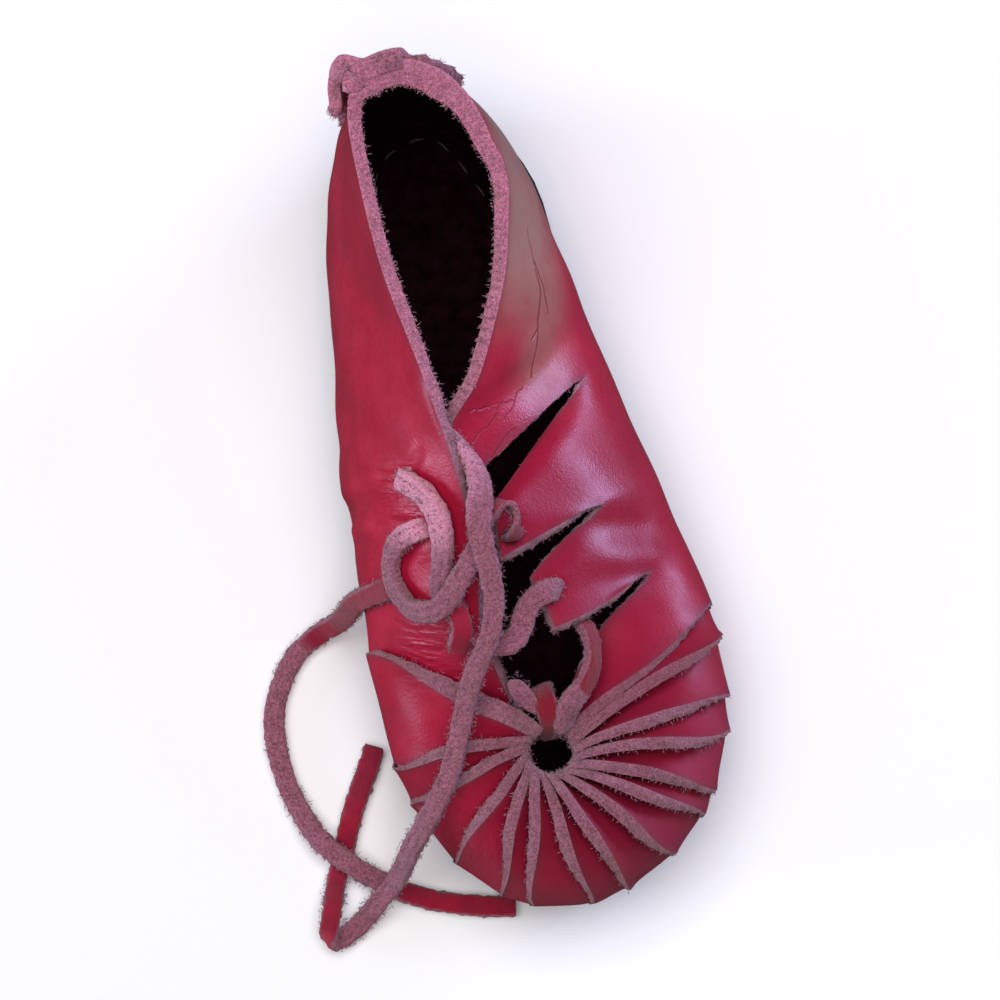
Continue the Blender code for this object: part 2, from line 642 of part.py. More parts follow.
def make_heel_flap(panels, material):
    """Flap folded up over the back of the heel: a tab above the rim, and a loose inner shoulder."""
    collar = panels[0]
    middle = -collar.start / (collar.end - collar.start)
    per_station = 1 / (collar.end - collar.start)
    rows = [level for level in LEVELS if level >= FLAP_FOOT]
    points = []
    for level in rows:
        rise = (level - FLAP_FOOT) / (1 - FLAP_FOOT)
        first = FLAP_FOOT_INNER + (FLAP_TOP_INNER - FLAP_FOOT_INNER) * rise
        last = FLAP_FOOT_OUTER + (FLAP_TOP_OUTER - FLAP_FOOT_OUTER) * rise
        for station in np.linspace(first, last, FLAP_COLUMNS + 1):
            side = 1 - 2 * (last - station) / (last - first)
            loose = smooth_step((-side - 0.15) / 0.3) * (1 - 0.5 * smooth_step((-side - 0.6) / 0.4))
            loose = FLAP_SHOULDER * loose * smooth_step((rise - 0.45) / 0.4)
            points.append(skin(collar, middle + station * per_station, level, GAP + LEATHER + loose))
    last = points[-(FLAP_COLUMNS + 1):]
    before = points[-2 * (FLAP_COLUMNS + 1):-(FLAP_COLUMNS + 1)]
    for k, (upper, lower) in enumerate(zip(last, before)):
        side = 2 * k / FLAP_COLUMNS - 1
        upward = (upper - lower) / np.linalg.norm(upper - lower)
        points.append(upper + upward * FLAP_ABOVE_RIM * (1 - FLAP_CORNER_DROP * side * side))
    wide = FLAP_COLUMNS + 1
    faces = []
    for row in range(len(rows)):
        for k in range(FLAP_COLUMNS):
            a = row * wide + k
            faces.append([a, a + wide, a + wide + 1, a + 1])
    flap = new_object("heel_flap", points, faces, material)
    wall = flap.modifiers.new("wall", "SOLIDIFY")
    wall.thickness = LEATHER * MM
    wall.offset = -1
    wall.use_even_offset = True
    wall.use_quality_normals = True
    return flap


def make_thong(name, bends, material):
    """Flat strip swept along a smooth line through its bends."""
    rows = np.array(bends)
    steps = np.linalg.norm(np.diff(rows[:, :3], axis=0), axis=1)
    stations = np.concatenate([[0], np.cumsum(steps)])
    at = np.linspace(0, stations[-1], int(stations[-1] / THONG_STEP) + 2)
    line = np.array([spline(stations, rows, s) for s in at])
    along = np.gradient(line[:, :3], axis=0)
    points = []
    for row, way in zip(line, along):
        way = way / np.linalg.norm(way)
        face = row[3:] - way * (row[3:] @ way)
        face = face / np.linalg.norm(face) * THONG_THICK / 2
        side = np.cross(way, face) * THONG_WIDTH / THONG_THICK
        points += [row[:3] + face + side, row[:3] + face - side, row[:3] - face - side, row[:3] - face + side]
    loops = [[4 * n + k for k in range(4)] for n in range(len(line))]
    faces = [loops[0], loops[-1][::-1]]
    for first, second in zip(loops, loops[1:]):
        faces += band(second, first)
    return new_object(name, points, faces, material)


def cut_holes(upper, material):
    """Slots through the wall for the thongs."""
    points = []
    faces = []
    for hole in HOLES:
        centre = np.array(hole[:3])
        out = np.array(hole[3:6]) / np.linalg.norm(hole[3:6])
        long_way = np.array(hole[6:]) - out * (out @ hole[6:])
        long_way = long_way / np.linalg.norm(long_way)
        wide_way = np.cross(out, long_way)
        first = len(points)
        for depth in (-HOLE_DEEP / 2, HOLE_DEEP / 2):
            for u, v in ((-1, -1), (1, -1), (1, 1), (-1, 1)):
                points.append(centre + depth * out + u * long_way * HOLE_LONG / 2 + v * wide_way * HOLE_WIDE / 2)
        loops = [[first + k for k in range(4)], [first + 4 + k for k in range(4)]]
        faces += [loops[0][::-1], loops[1]] + band(*loops)
    cutter = new_object("lace_holes", points, faces, material)
    cutter.hide_render = True
    cutter.display_type = "WIRE"
    cut = upper.modifiers.new("lace_holes", "BOOLEAN")
    cut.operation = "DIFFERENCE"
    cut.solver = "EXACT"
    cut.object = cutter


def clear_scene():
    for item in list(bpy.data.objects):
        bpy.data.objects.remove(item, do_unlink=True)


def main():
    clear_scene()
    leather = new_material("red_leather", (0.42, 0.03, 0.07), 0.45)
    thong = new_material("thong_leather", (0.33, 0.11, 0.15), 0.9)
    rubber = new_material("black_rubber", (0.012, 0.014, 0.012), 0.6)
    panels = make_panels()
    upper = make_upper(panels, leather)
    cut_holes(upper, leather)
    make_outsole(panels, rubber)
    make_heel_flap(panels, leather)
    for name, bends in THONGS.items():
        make_thong(name, bends, thong)


main()
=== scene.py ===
"""Looks of a child's shoe folded from one piece of red leather, on a lugged rubber outsole.

The toe points to -Y, the outer side is +X, and the shoe stands on z = 0.
Sizes are in millimetres. MM turns them into metres where a mesh is made.
"""
import math
from collections import namedtuple

import bpy
import numpy as np
from mathutils import Matrix, Vector


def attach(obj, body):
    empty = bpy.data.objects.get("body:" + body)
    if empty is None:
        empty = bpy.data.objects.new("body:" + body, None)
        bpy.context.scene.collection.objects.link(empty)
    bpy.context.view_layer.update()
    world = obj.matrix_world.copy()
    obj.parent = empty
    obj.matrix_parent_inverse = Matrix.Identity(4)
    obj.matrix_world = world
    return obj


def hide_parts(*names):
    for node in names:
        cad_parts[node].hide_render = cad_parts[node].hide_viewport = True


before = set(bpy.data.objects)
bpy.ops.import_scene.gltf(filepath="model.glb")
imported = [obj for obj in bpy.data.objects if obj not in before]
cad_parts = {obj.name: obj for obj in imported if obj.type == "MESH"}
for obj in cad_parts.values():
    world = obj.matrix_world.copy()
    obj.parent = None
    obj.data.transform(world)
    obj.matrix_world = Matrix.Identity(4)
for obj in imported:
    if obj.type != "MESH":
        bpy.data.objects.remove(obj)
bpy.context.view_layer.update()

MM = 0.001
# Middle of the shoe's plan, which is the origin
ORIGIN = np.array([2.84, -0.53, 0.0])
ROOT = "root"
rng = np.random.default_rng(26)


# Small tools

def deselect_all():
    bpy.ops.object.select_all(action="DESELECT")


def smooth_step(x):
    x = np.clip(x, 0, 1)
    return x * x * (3 - 2 * x)


def unit(vectors):
    return vectors / np.maximum(np.linalg.norm(vectors, axis=-1, keepdims=True), 1e-9)


def spline(stations, values, at, period=None):
    """Cubic through the rows, with tangents taken from the neighbours on both sides."""
    stations = np.asarray(stations, float)
    values = np.asarray(values, float)
    at = np.atleast_1d(np.asarray(at, float))
    if period:
        stations = np.concatenate([stations[-2:] - period, stations, stations[:2] + period])
        values = np.concatenate([values[-2:], values, values[:2]])
        at = (at - stations[2]) % period + stations[2]
    slopes = np.gradient(values, stations, axis=0)
    k = np.clip(np.searchsorted(stations, at, side="right") - 1, 0, len(stations) - 2)
    step = (stations[k + 1] - stations[k])[:, None]
    t = (at - stations[k])[:, None] / step
    return ((1 + 2 * t) * (1 - t) ** 2 * values[k] + t * (1 - t) ** 2 * step * slopes[k]
            + t * t * (3 - 2 * t) * values[k + 1] + t * t * (t - 1) * step * slopes[k + 1])


def sharpen(mesh, face_slots):
    """Sharp edges wherever two materials meet."""
    edges = np.empty(len(mesh.loops), np.int32)
    mesh.loops.foreach_get("edge_index", edges)
    corners = np.empty(len(mesh.polygons), np.int32)
    mesh.polygons.foreach_get("loop_total", corners)
    slots = np.repeat(np.asarray(face_slots), corners)
    low = np.full(len(mesh.edges), len(mesh.materials))
    high = np.full(len(mesh.edges), -1)
    np.minimum.at(low, edges, slots)
    np.maximum.at(high, edges, slots)
    layer = mesh.attributes.new("sharp_edge", "BOOLEAN", "EDGE")
    layer.data.foreach_set("value", low != high)


def new_mesh(name, points, faces, materials, face_slots=None):
    """Piece from points in millimetres, with its place in its mesh."""
    mesh = bpy.data.meshes.new(name)
    mesh.from_pydata([tuple(p) for p in (np.asarray(points) - ORIGIN) * MM], [], [list(f) for f in faces])
    for material in materials:
        mesh.materials.append(material)
    if face_slots is not None:
        mesh.polygons.foreach_set("material_index", np.asarray(face_slots, np.int32))
    mesh.polygons.foreach_set("use_smooth", np.ones(len(mesh.polygons), bool))
    mesh.update()
    if face_slots is not None:
        sharpen(mesh, face_slots)
    piece = bpy.data.objects.new(name, mesh)
    bpy.context.scene.collection.objects.link(piece)
    return piece


def settle(piece, node=None):
    """Piece rides on the shoe's body, in place of a solid where one is named."""
    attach(piece, ROOT)
    if node:
        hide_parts(node)


def paint(piece, name, values):
    """Number on each point of a piece, which its material reads."""
    layer = piece.data.attributes.new(name, "FLOAT", "POINT")
    layer.data.foreach_set("value", np.asarray(values, np.float32))


# Materials

# How far a mark fades out past its ends and within them, as a share of its length
MARK_BEFORE = 0.06
MARK_WITHIN = 0.04
# Height over the mark's own line up to which it shows, and at which it has gone
MARK_NEAR = 3.0
MARK_FAR = 5.0


class Nodes:
    """Short way to lay out a material's nodes."""

    def __init__(self, name):
        self.material = bpy.data.materials.new(name)
        self.material.use_nodes = True
        self.tree = self.material.node_tree
        self.shader = self.tree.nodes["Principled BSDF"]
        self.place = self.add("ShaderNodeTexCoord").outputs["Object"]

    def add(self, kind, **settings):
        node = self.tree.nodes.new(kind)
        for key, value in settings.items():
            setattr(node, key, value)
        return node

    def link(self, source, socket):
        self.tree.links.new(source, socket)

    def set(self, **values):
        for key, value in values.items():
            socket = self.shader.inputs[key.replace("_", " ")]
            if isinstance(value, bpy.types.NodeSocket):
                self.link(value, socket)
            else:
                socket.default_value = value

    def noise(self, size, detail=4.0, rough=0.55, along=None, stretch=1.0):
        """Noise whose lumps are about size millimetres, or drawn out along a direction."""
        place = self.place
        if along is not None:
            mapping = self.add("ShaderNodeMapping", vector_type="TEXTURE")
            mapping.inputs["Rotation"].default_value = Vector(along).to_track_quat("X", "Z").to_euler()
            mapping.inputs["Scale"].default_value = (stretch, 1, 1)
            self.link(place, mapping.inputs["Vector"])
            place = mapping.outputs["Vector"]
        node = self.add("ShaderNodeTexNoise")
        node.inputs["Scale"].default_value = 1 / (size * MM)
        node.inputs["Detail"].default_value = detail
        node.inputs["Roughness"].default_value = rough
        self.link(place, node.inputs["Vector"])
        return node.outputs["Fac"]

    def cells(self, size):
        node = self.add("ShaderNodeTexVoronoi", feature="SMOOTH_F1")
        node.inputs["Scale"].default_value = 1 / (size * MM)
        self.link(self.place, node.inputs["Vector"])
        return node.outputs["Distance"]

    def attribute(self, name):
        return self.add("ShaderNodeAttribute", attribute_name=name).outputs["Fac"]

    def ramp(self, source, low, high, start=0.0, end=1.0):
        """Number from start to end as the source goes from low to high."""
        node = self.add("ShaderNodeMapRange", interpolation_type="SMOOTHSTEP")
        for key, value in (("From Min", low), ("From Max", high), ("To Min", start), ("To Max", end)):
            node.inputs[key].default_value = value
        self.link(source, node.inputs["Value"])
        return node.outputs["Result"]

    def mix(self, share, first, second):
        node = self.add("ShaderNodeMix", data_type="RGBA")
        for key, value in (("Factor", share), ("A", first), ("B", second)):
            self.feed(value, node.inputs[key])
        return node.outputs["Result"]

    def sum(self, first, second, how="ADD"):
        node = self.add("ShaderNodeMath", operation=how)
        self.feed(first, node.inputs[0])
        self.feed(second, node.inputs[1])
        return node.outputs["Value"]

    def feed(self, value, socket):
        if isinstance(value, bpy.types.NodeSocket):
            self.link(value, socket)
        elif isinstance(value, tuple):
            socket.default_value = (*value, 1)
        else:
            socket.default_value = value

    def near(self, centre, radius):
        """One at a place on the shoe, falling to none at the radius."""
        gap = self.vector("DISTANCE", self.place, (Vector(centre) - Vector(ORIGIN)) * MM)
        return self.ramp(gap, 0.0, radius * MM, 1.0, 0.0)

    def zone(self, place):
        """Share of a place on the shoe, falling to none at its reach."""
        return self.sum(self.near(place[:3], place.reach), place.share, "MULTIPLY")

    def line(self, mark, place, out):
        """One along a straight mark on a side of the shoe that looks out, falling to none at its width."""
        start = Vector((mark.x1, mark.y1, mark.z1)) - Vector(ORIGIN)
        way = (Vector((mark.x2, mark.y2, mark.z2)) - Vector(ORIGIN) - start) * MM
        away = self.vector("SUBTRACT", place, start * MM)
        share = self.vector("DOT_PRODUCT", away, way / way.length_squared)
        started = self.ramp(share, -MARK_BEFORE, MARK_WITHIN)
        ending = self.ramp(share, 1 - MARK_WITHIN, 1 + MARK_BEFORE, 1.0, 0.0)
        inside = self.sum(started, ending, "MULTIPLY")
        gap = self.vector("DOT_PRODUCT", away, way.cross(Vector(out)).normalized())
        narrow = self.ramp(self.sum(gap, 0.0, "ABSOLUTE"), 0.0, mark.wide * MM, 1.0, 0.0)
        height = self.sum(self.vector("DOT_PRODUCT", away, Vector(out)), 0.0, "ABSOLUTE")
        close = self.ramp(height, MARK_NEAR * MM, MARK_FAR * MM, 1.0, 0.0)
        return self.sum(self.sum(inside, narrow, "MULTIPLY"), close, "MULTIPLY")

    def lines(self, marks, place, out):
        drawn = self.line(marks[0], place, out)
        for mark in marks[1:]:
            drawn = self.sum(drawn, self.line(mark, place, out), "MAXIMUM")
        return drawn

    def along_y(self, low, high):
        """None behind low and one in front of high, in millimetres along the shoe."""
        split = self.add("ShaderNodeSeparateXYZ")
        self.link(self.place, split.inputs["Vector"])
        return self.ramp(split.outputs["Y"], (low - ORIGIN[1]) * MM, (high - ORIGIN[1]) * MM)

    def vector(self, operation, first, second):
        node = self.add("ShaderNodeVectorMath", operation=operation)
        for value, socket in ((first, node.inputs[0]), (second, node.inputs[1])):
            if isinstance(value, bpy.types.NodeSocket):
                self.link(value, socket)
            else:
                socket.default_value = value
        return node.outputs["Value" if operation in ("DOT_PRODUCT", "DISTANCE") else "Vector"]

    def shaken(self, size, amount):
        """Place on the shoe, pushed about by noise so that straight marks wander."""
        noise = self.add("ShaderNodeTexNoise")
        noise.inputs["Scale"].default_value = 1 / (size * MM)
        self.link(self.place, noise.inputs["Vector"])
        push = self.vector("SUBTRACT", noise.outputs["Color"], (0.5, 0.5, 0.5))
        push = self.vector("MULTIPLY", push, (amount * MM,) * 3)
        return self.vector("ADD", self.place, push)

    def bump(self, height, deep, strength=1.0, under=None):
        node = self.add("ShaderNodeBump")
        node.inputs["Strength"].default_value = strength
        node.inputs["Distance"].default_value = deep * MM
        self.link(height, node.inputs["Height"])
        if under is not None:
            self.link(under, node.inputs["Normal"])
        return node.outputs["Normal"]


RED_DEEP = (0.20, 0.004, 0.016)
RED_MID = (0.36, 0.007, 0.030)
RED_BRIGHT = (0.46, 0.010, 0.042)
RED_TOE = (0.20, 0.010, 0.030)
RED_STRAP = (0.25, 0.008, 0.030)
RED_WORN = (0.34, 0.190, 0.145)
PINK_DARK = (0.15, 0.036, 0.058)
PINK_PALE = (0.45, 0.165, 0.230)
RIM_DARK = (0.29, 0.050, 0.105)
RIM_PALE = (0.78, 0.280, 0.420)
TUCK_DARK = (0.40, 0.105, 0.170)
TUCK_PALE = (0.88, 0.390, 0.520)
FUZZ_DARK = (0.26, 0.08, 0.11)
FUZZ_PALE = (0.50, 0.24, 0.29)
FUZZ_RIM_DARK = (0.45, 0.14, 0.20)
FUZZ_RIM_PALE = (0.80, 0.40, 0.50)
# Flesh side inside the shoe in painted shade, far darker than the pink flesh side of the laces and edges
FLESH_SHADE_DARK = (0.006, 0.002, 0.002)
FLESH_SHADE_PALER = (0.026, 0.006, 0.011)
RUBBER_BLACK = (0.008, 0.010, 0.009)
RUBBER_DUSTY = (0.022, 0.026, 0.022)
THREAD_DARK = (0.06, 0.05, 0.045)
THREAD_PALE = (0.14, 0.12, 0.10)
FLOOR_GREY = (0.93, 0.93, 0.925)
FLOOR_WHITE = (0.95, 0.95, 0.94)

# Sizes of the patterns in the materials, and how many times as long as wide a fold is
MOTTLE = 16.0
SPECKLE = 1.1
PORE = 0.45
LUMP = 2.4
FOLD = 1.5
FOLD_STRETCH = 5.0
WEAR_FLECK = 4.0
GLOSS_PATCH = 7.0
FLECK = 0.45
FLECK_PATCH = 2.6
# How deep they stand in the surface
PORE_DEEP = 0.06
LUMP_DEEP = 0.14
FOLD_DEEP = 0.9
CRACK_DEEP = 0.25
NAP_DEEP = 0.45
THONG_NAP_DEEP = 0.40


# Marks on the grain: straight from one point to another, and how wide
Mark = namedtuple("Mark", "x1 y1 z1 x2 y2 z2 wide")
CRACKS = [
    Mark(13.1, 38.6, 53.1, 13.3, 31.3, 49.7, 0.30),
    Mark(13.3, 31.3, 49.7, 13.3, 26.8, 46.8, 0.45),
    Mark(13.3, 26.8, 46.8, 12.1, 21.4, 45.6, 0.50),
    Mark(12.1, 21.4, 45.6, 10.8, 16.6, 44.2, 0.45),
    Mark(10.8, 16.6, 44.2, 9.2, 11.4, 43.9, 0.30),
    Mark(13.3, 32.7, 50.0, 14.1, 28.0, 45.8, 0.40),
    Mark(14.1, 28.0, 45.8, 14.6, 24.0, 42.6, 0.35),
    Mark(12.1, 21.0, 45.4, 9.8, 18.0, 46.0, 0.30),
]
CRACKED_SIDE = (0.80, 0.05, 0.60)
SCRATCHES = [
    Mark(-4.5, 4.0, 52.5, 5.0, 6.5, 48.0, 0.26),
    Mark(-4.0, -1.5, 50.8, 2.0, 5.0, 49.2, 0.26),
    Mark(-1.5, -4.5, 48.6, 4.0, 1.5, 46.8, 0.26),
    Mark(2.5, 3.0, 48.0, 7.5, 9.0, 47.0, 0.22),
]
SCRATCHED_SIDE = (0.45, -0.10, 0.88)
# How strongly the cracks, the scratches and the rims take their own colours
CRACK_SHARE = 0.75
SCRATCH_SHARE = 0.2
RIM_SHARE = 0.55
# Deeper reds: middle, reach, share and colour
Tint = namedtuple("Tint", "x y z reach share colour")
TINTS = [Tint(16.0, -20.0, 40.0, 46, 0.95, RED_STRAP), Tint(14.0, -78.0, 18.0, 68, 0.9, RED_TOE),
         Tint(4.0, 86.0, 40.0, 26, 0.7, RED_DEEP)]
# Places of other kinds: middle, reach and share
Zone = namedtuple("Zone", "x y z reach share")
# The toe is duller than the rest, by the share
DULL = Zone(16.0, -76.0, 16.0, 64, 0.32)
# The start of the lace is pale, and all of it where its nearness passes the share
TUCK = Zone(-16.0, -8.0, 52.0, 19, 0.5)
# The toe's thong is of a deeper red
TOE_RED = Zone(5.0, -46.0, 37.0, 26, 0.8)
# Stretch along the shoe where the cut edge is clean: it begins, is reached, is left and ends
CLEAN_EDGE = (-14.0, 16.0, 68.0, 82.0)
# Worn places, where this share of the colour has gone
WORN = [Zone(12.0, 60.0, 46.0, 28, 1.0), Zone(13.5, 38.0, 50.0, 23, 0.9), Zone(13.5, 24.0, 44.0, 15, 0.55),
        Zone(11.0, 13.0, 43.0, 12, 0.45), Zone(11.7, 46.0, 60.0, 18, 0.9), Zone(9.5, 34.0, 60.0, 17, 0.7),
        Zone(6.5, 24.0, 58.0, 13, 0.4)]
# Fine wrinkles: middle, reach and the way that they run
Wrinkles = namedtuple("Wrinkles", "x y z reach along")
WRINKLED = [Wrinkles(-20.0, -36.0, 38.0, 14, (13, -6, 9.5)), Wrinkles(-21.0, -9.0, 43.0, 15, (6, -3, 8)),
            Wrinkles(-16.0, -70.0, 26.0, 12, (6, 9, 6))]


def grain_leather():
    """Smooth red side of the hide: mottled, with fine pores, worn grey-brown on the outer quarter."""
    n = Nodes("red_grain")
    colour = n.mix(n.ramp(n.noise(MOTTLE), 0.35, 0.68), RED_MID, RED_BRIGHT)
    for tint in TINTS:
        colour = n.mix(n.zone(tint), colour, tint.colour)
    colour = n.mix(n.ramp(n.noise(SPECKLE, 3), 0.45, 0.75, 0.0, 0.30), colour, RED_DEEP)
    for wear in WORN:
        flecked = n.ramp(n.noise(WEAR_FLECK, 6), 0.25, 0.55, 0.65, 1.0)
        colour = n.mix(n.sum(n.zone(wear), flecked, "MULTIPLY"), colour, RED_WORN)
    cracked = n.lines(CRACKS, n.shaken(3.0, 1.2), CRACKED_SIDE)
    scratched = n.lines(SCRATCHES, n.shaken(3.5, 2.2), SCRATCHED_SIDE)
    colour = n.mix(n.sum(cracked, CRACK_SHARE, "MULTIPLY"), colour, RED_DEEP)
    colour = n.mix(n.sum(scratched, SCRATCH_SHARE, "MULTIPLY"), colour, PINK_PALE)
    colour = n.mix(n.sum(n.attribute("rim"), RIM_SHARE, "MULTIPLY"), colour, PINK_DARK)
    # Painted shade of the openings where the thongs go through the leather
    colour = n.mix(n.attribute("hole"), colour, FLESH_SHADE_DARK)
    normal = n.bump(n.cells(PORE), PORE_DEEP, 0.6)
    normal = n.bump(n.noise(LUMP, 5), LUMP_DEEP, 0.3, normal)
    for patch in WRINKLED:
        folds = n.noise(FOLD, 2, 0.5, patch.along, FOLD_STRETCH)
        folds = n.sum(n.near(patch[:3], patch.reach), folds, "MULTIPLY")
        normal = n.bump(folds, FOLD_DEEP, 1.0, normal)
    marks = n.sum(cracked, scratched, "MAXIMUM")
    normal = n.bump(n.sum(marks, -1.0, "MULTIPLY"), CRACK_DEEP, 0.8, normal)
    rough = n.ramp(n.noise(GLOSS_PATCH), 0.3, 0.7, 0.29, 0.40)
    n.set(Base_Color=colour, Roughness=n.sum(rough, n.zone(DULL)), Normal=normal)
    n.set(Coat_Weight=0.05, Coat_Roughness=0.25, Specular_IOR_Level=0.36)
    return n.material


def inside_leather():
    """Flesh side inside the shoe, painted with the shade that falls inside it: nearly black and matt, with a
    short nap.
    """
    n = Nodes("shaded_flesh")
    # Both colours are painted shade; the flesh side itself is pink like the laces
    colour = n.mix(n.ramp(n.noise(3, 6, 0.7), 0.3, 0.75), FLESH_SHADE_DARK, FLESH_SHADE_PALER)
    n.set(Base_Color=colour, Roughness=0.95, Normal=n.bump(n.noise(0.5, 4, 0.7), 0.3, 0.8))
    n.set(Specular_IOR_Level=0.05)
    return n.material


def fibrous(n, pale, dark):
    """Colour of the hide's fibres: fine light and dark flecks in wider patches."""
    colour = n.mix(n.ramp(n.noise(FLECK, 4, 0.8), 0.30, 0.68), dark, pale)
    return n.mix(n.ramp(n.noise(FLECK_PATCH, 3), 0.45, 0.8, 0.0, 0.35), colour, dark)


def suede(name, pale, dark, rim_pale, rim_dark):
    """Cut edge of the hide: fibrous and pink, cleaner round the collar than at the toe."""
    n = Nodes(name)
    begins, reached, left, ends = CLEAN_EDGE
    clean = n.sum(n.along_y(begins, reached), n.along_y(ends, left), "MULTIPLY")
    colour = n.mix(clean, fibrous(n, pale, dark), fibrous(n, rim_pale, rim_dark))
    # Where the cut is still closed the edge is the red grain folded over it, in the deepest red as painted
    # shade of the thin dark line there
    colour = n.mix(n.attribute("cut"), RED_DEEP, colour)
    n.set(Base_Color=colour, Roughness=1.0, Normal=n.bump(n.noise(FLECK, 5, 0.75), NAP_DEEP, 1.0))
    n.set(Sheen_Weight=0.35, Sheen_Roughness=0.5, Specular_IOR_Level=0.1)
    return n.material


def thong_leather():
    """Lace: red where the grain side shows, pink suede elsewhere."""
    n = Nodes("thong")
    clean = n.ramp(n.near(TUCK[:3], TUCK.reach), 0.0, TUCK.share)
    flesh = n.mix(clean, fibrous(n, PINK_PALE, PINK_DARK), fibrous(n, TUCK_PALE, TUCK_DARK))
    red = n.mix(n.ramp(n.noise(5), 0.35, 0.7), RED_STRAP, RED_MID)
    red = n.mix(n.zone(TOE_RED), red, RED_DEEP)
    side = n.ramp(n.attribute("grain"), 0.80, 0.96)
    n.set(Base_Color=n.mix(side, flesh, red), Roughness=n.ramp(side, 0, 1, 0.98, 0.5))
    n.set(Normal=n.bump(n.noise(FLECK, 5, 0.75), THONG_NAP_DEEP, 0.9), Specular_IOR_Level=0.25)
    n.set(Sheen_Weight=0.2, Sheen_Roughness=0.5)
    return n.material


def rubber():
    """Black rubber with a faint green cast, dusty in patches."""
    n = Nodes("black_rubber")
    colour = n.mix(n.ramp(n.noise(9, 5), 0.4, 0.75), RUBBER_BLACK, RUBBER_DUSTY)
    n.set(Base_Color=colour, Roughness=n.ramp(n.noise(2, 5), 0.3, 0.7, 0.5, 0.72))
    n.set(Normal=n.bump(n.noise(0.7, 4), 0.12, 0.6))
    return n.material


def thread():
    """Thread of the stitches, dark grey with paler flecks."""
    n = Nodes("pale_thread")
    n.set(Base_Color=n.mix(n.noise(0.6), THREAD_DARK, THREAD_PALE), Roughness=0.85)
    return n.material


def floor_paint():
    """Plain pale floor."""
    n = Nodes("pale_floor")
    n.set(Base_Color=n.mix(n.noise(400, 2), FLOOR_GREY, FLOOR_WHITE), Roughness=0.8)
    n.set(Specular_IOR_Level=0.2)
    return n.material


GRAIN = grain_leather()
INSIDE = inside_leather()
EDGE = suede("cut_edge", PINK_PALE, PINK_DARK, RIM_PALE, RIM_DARK)
FUZZ = suede("fuzz", FUZZ_PALE, FUZZ_DARK, FUZZ_RIM_PALE, FUZZ_RIM_DARK)
THONG = thong_leather()
RUBBER = rubber()
THREAD = thread()


# Camera: nearly from above, a little from the toe, turned and rolled as in the photograph

ELEVATION = 75.0
AZIMUTH = -6.0
ROLL = -4.0
DISTANCE = 700.0
FOCAL_SHARE = 3.4155
SENSOR = 36.0
CLIP = (0.05, 20.0)


def place_camera():
    """Camera that looks at the zero point of the sizes, close to the middle of the shoe's plan."""
    data = bpy.data.cameras.new("camera")
    camera = bpy.data.objects.new("camera", data)
    bpy.context.scene.collection.objects.link(camera)
    e, a, r = (math.radians(v) for v in (ELEVATION, AZIMUTH, ROLL))
    back = Vector((math.sin(a) * math.cos(e), -math.cos(a) * math.cos(e), math.sin(e)))
    right = Vector((math.cos(a), math.sin(a), 0))
    up = back.cross(right)
    right, up = right * math.cos(r) + up * math.sin(r), up * math.cos(r) - right * math.sin(r)
    place = back * DISTANCE * MM - Vector(ORIGIN) * MM
    camera.matrix_world = Matrix.Translation(place) @ Matrix((right, up, back)).transposed().to_4x4()
    data.sensor_width = SENSOR
    data.lens = SENSOR * FOCAL_SHARE
    data.clip_start, data.clip_end = CLIP
    bpy.context.scene.camera = camera


place_camera()


# Thongs: flat leather laces. A bend is a point of the middle line, the way its flat face looks,
# and grain: 1 where the red side is on that face, -1 where the flesh side is.

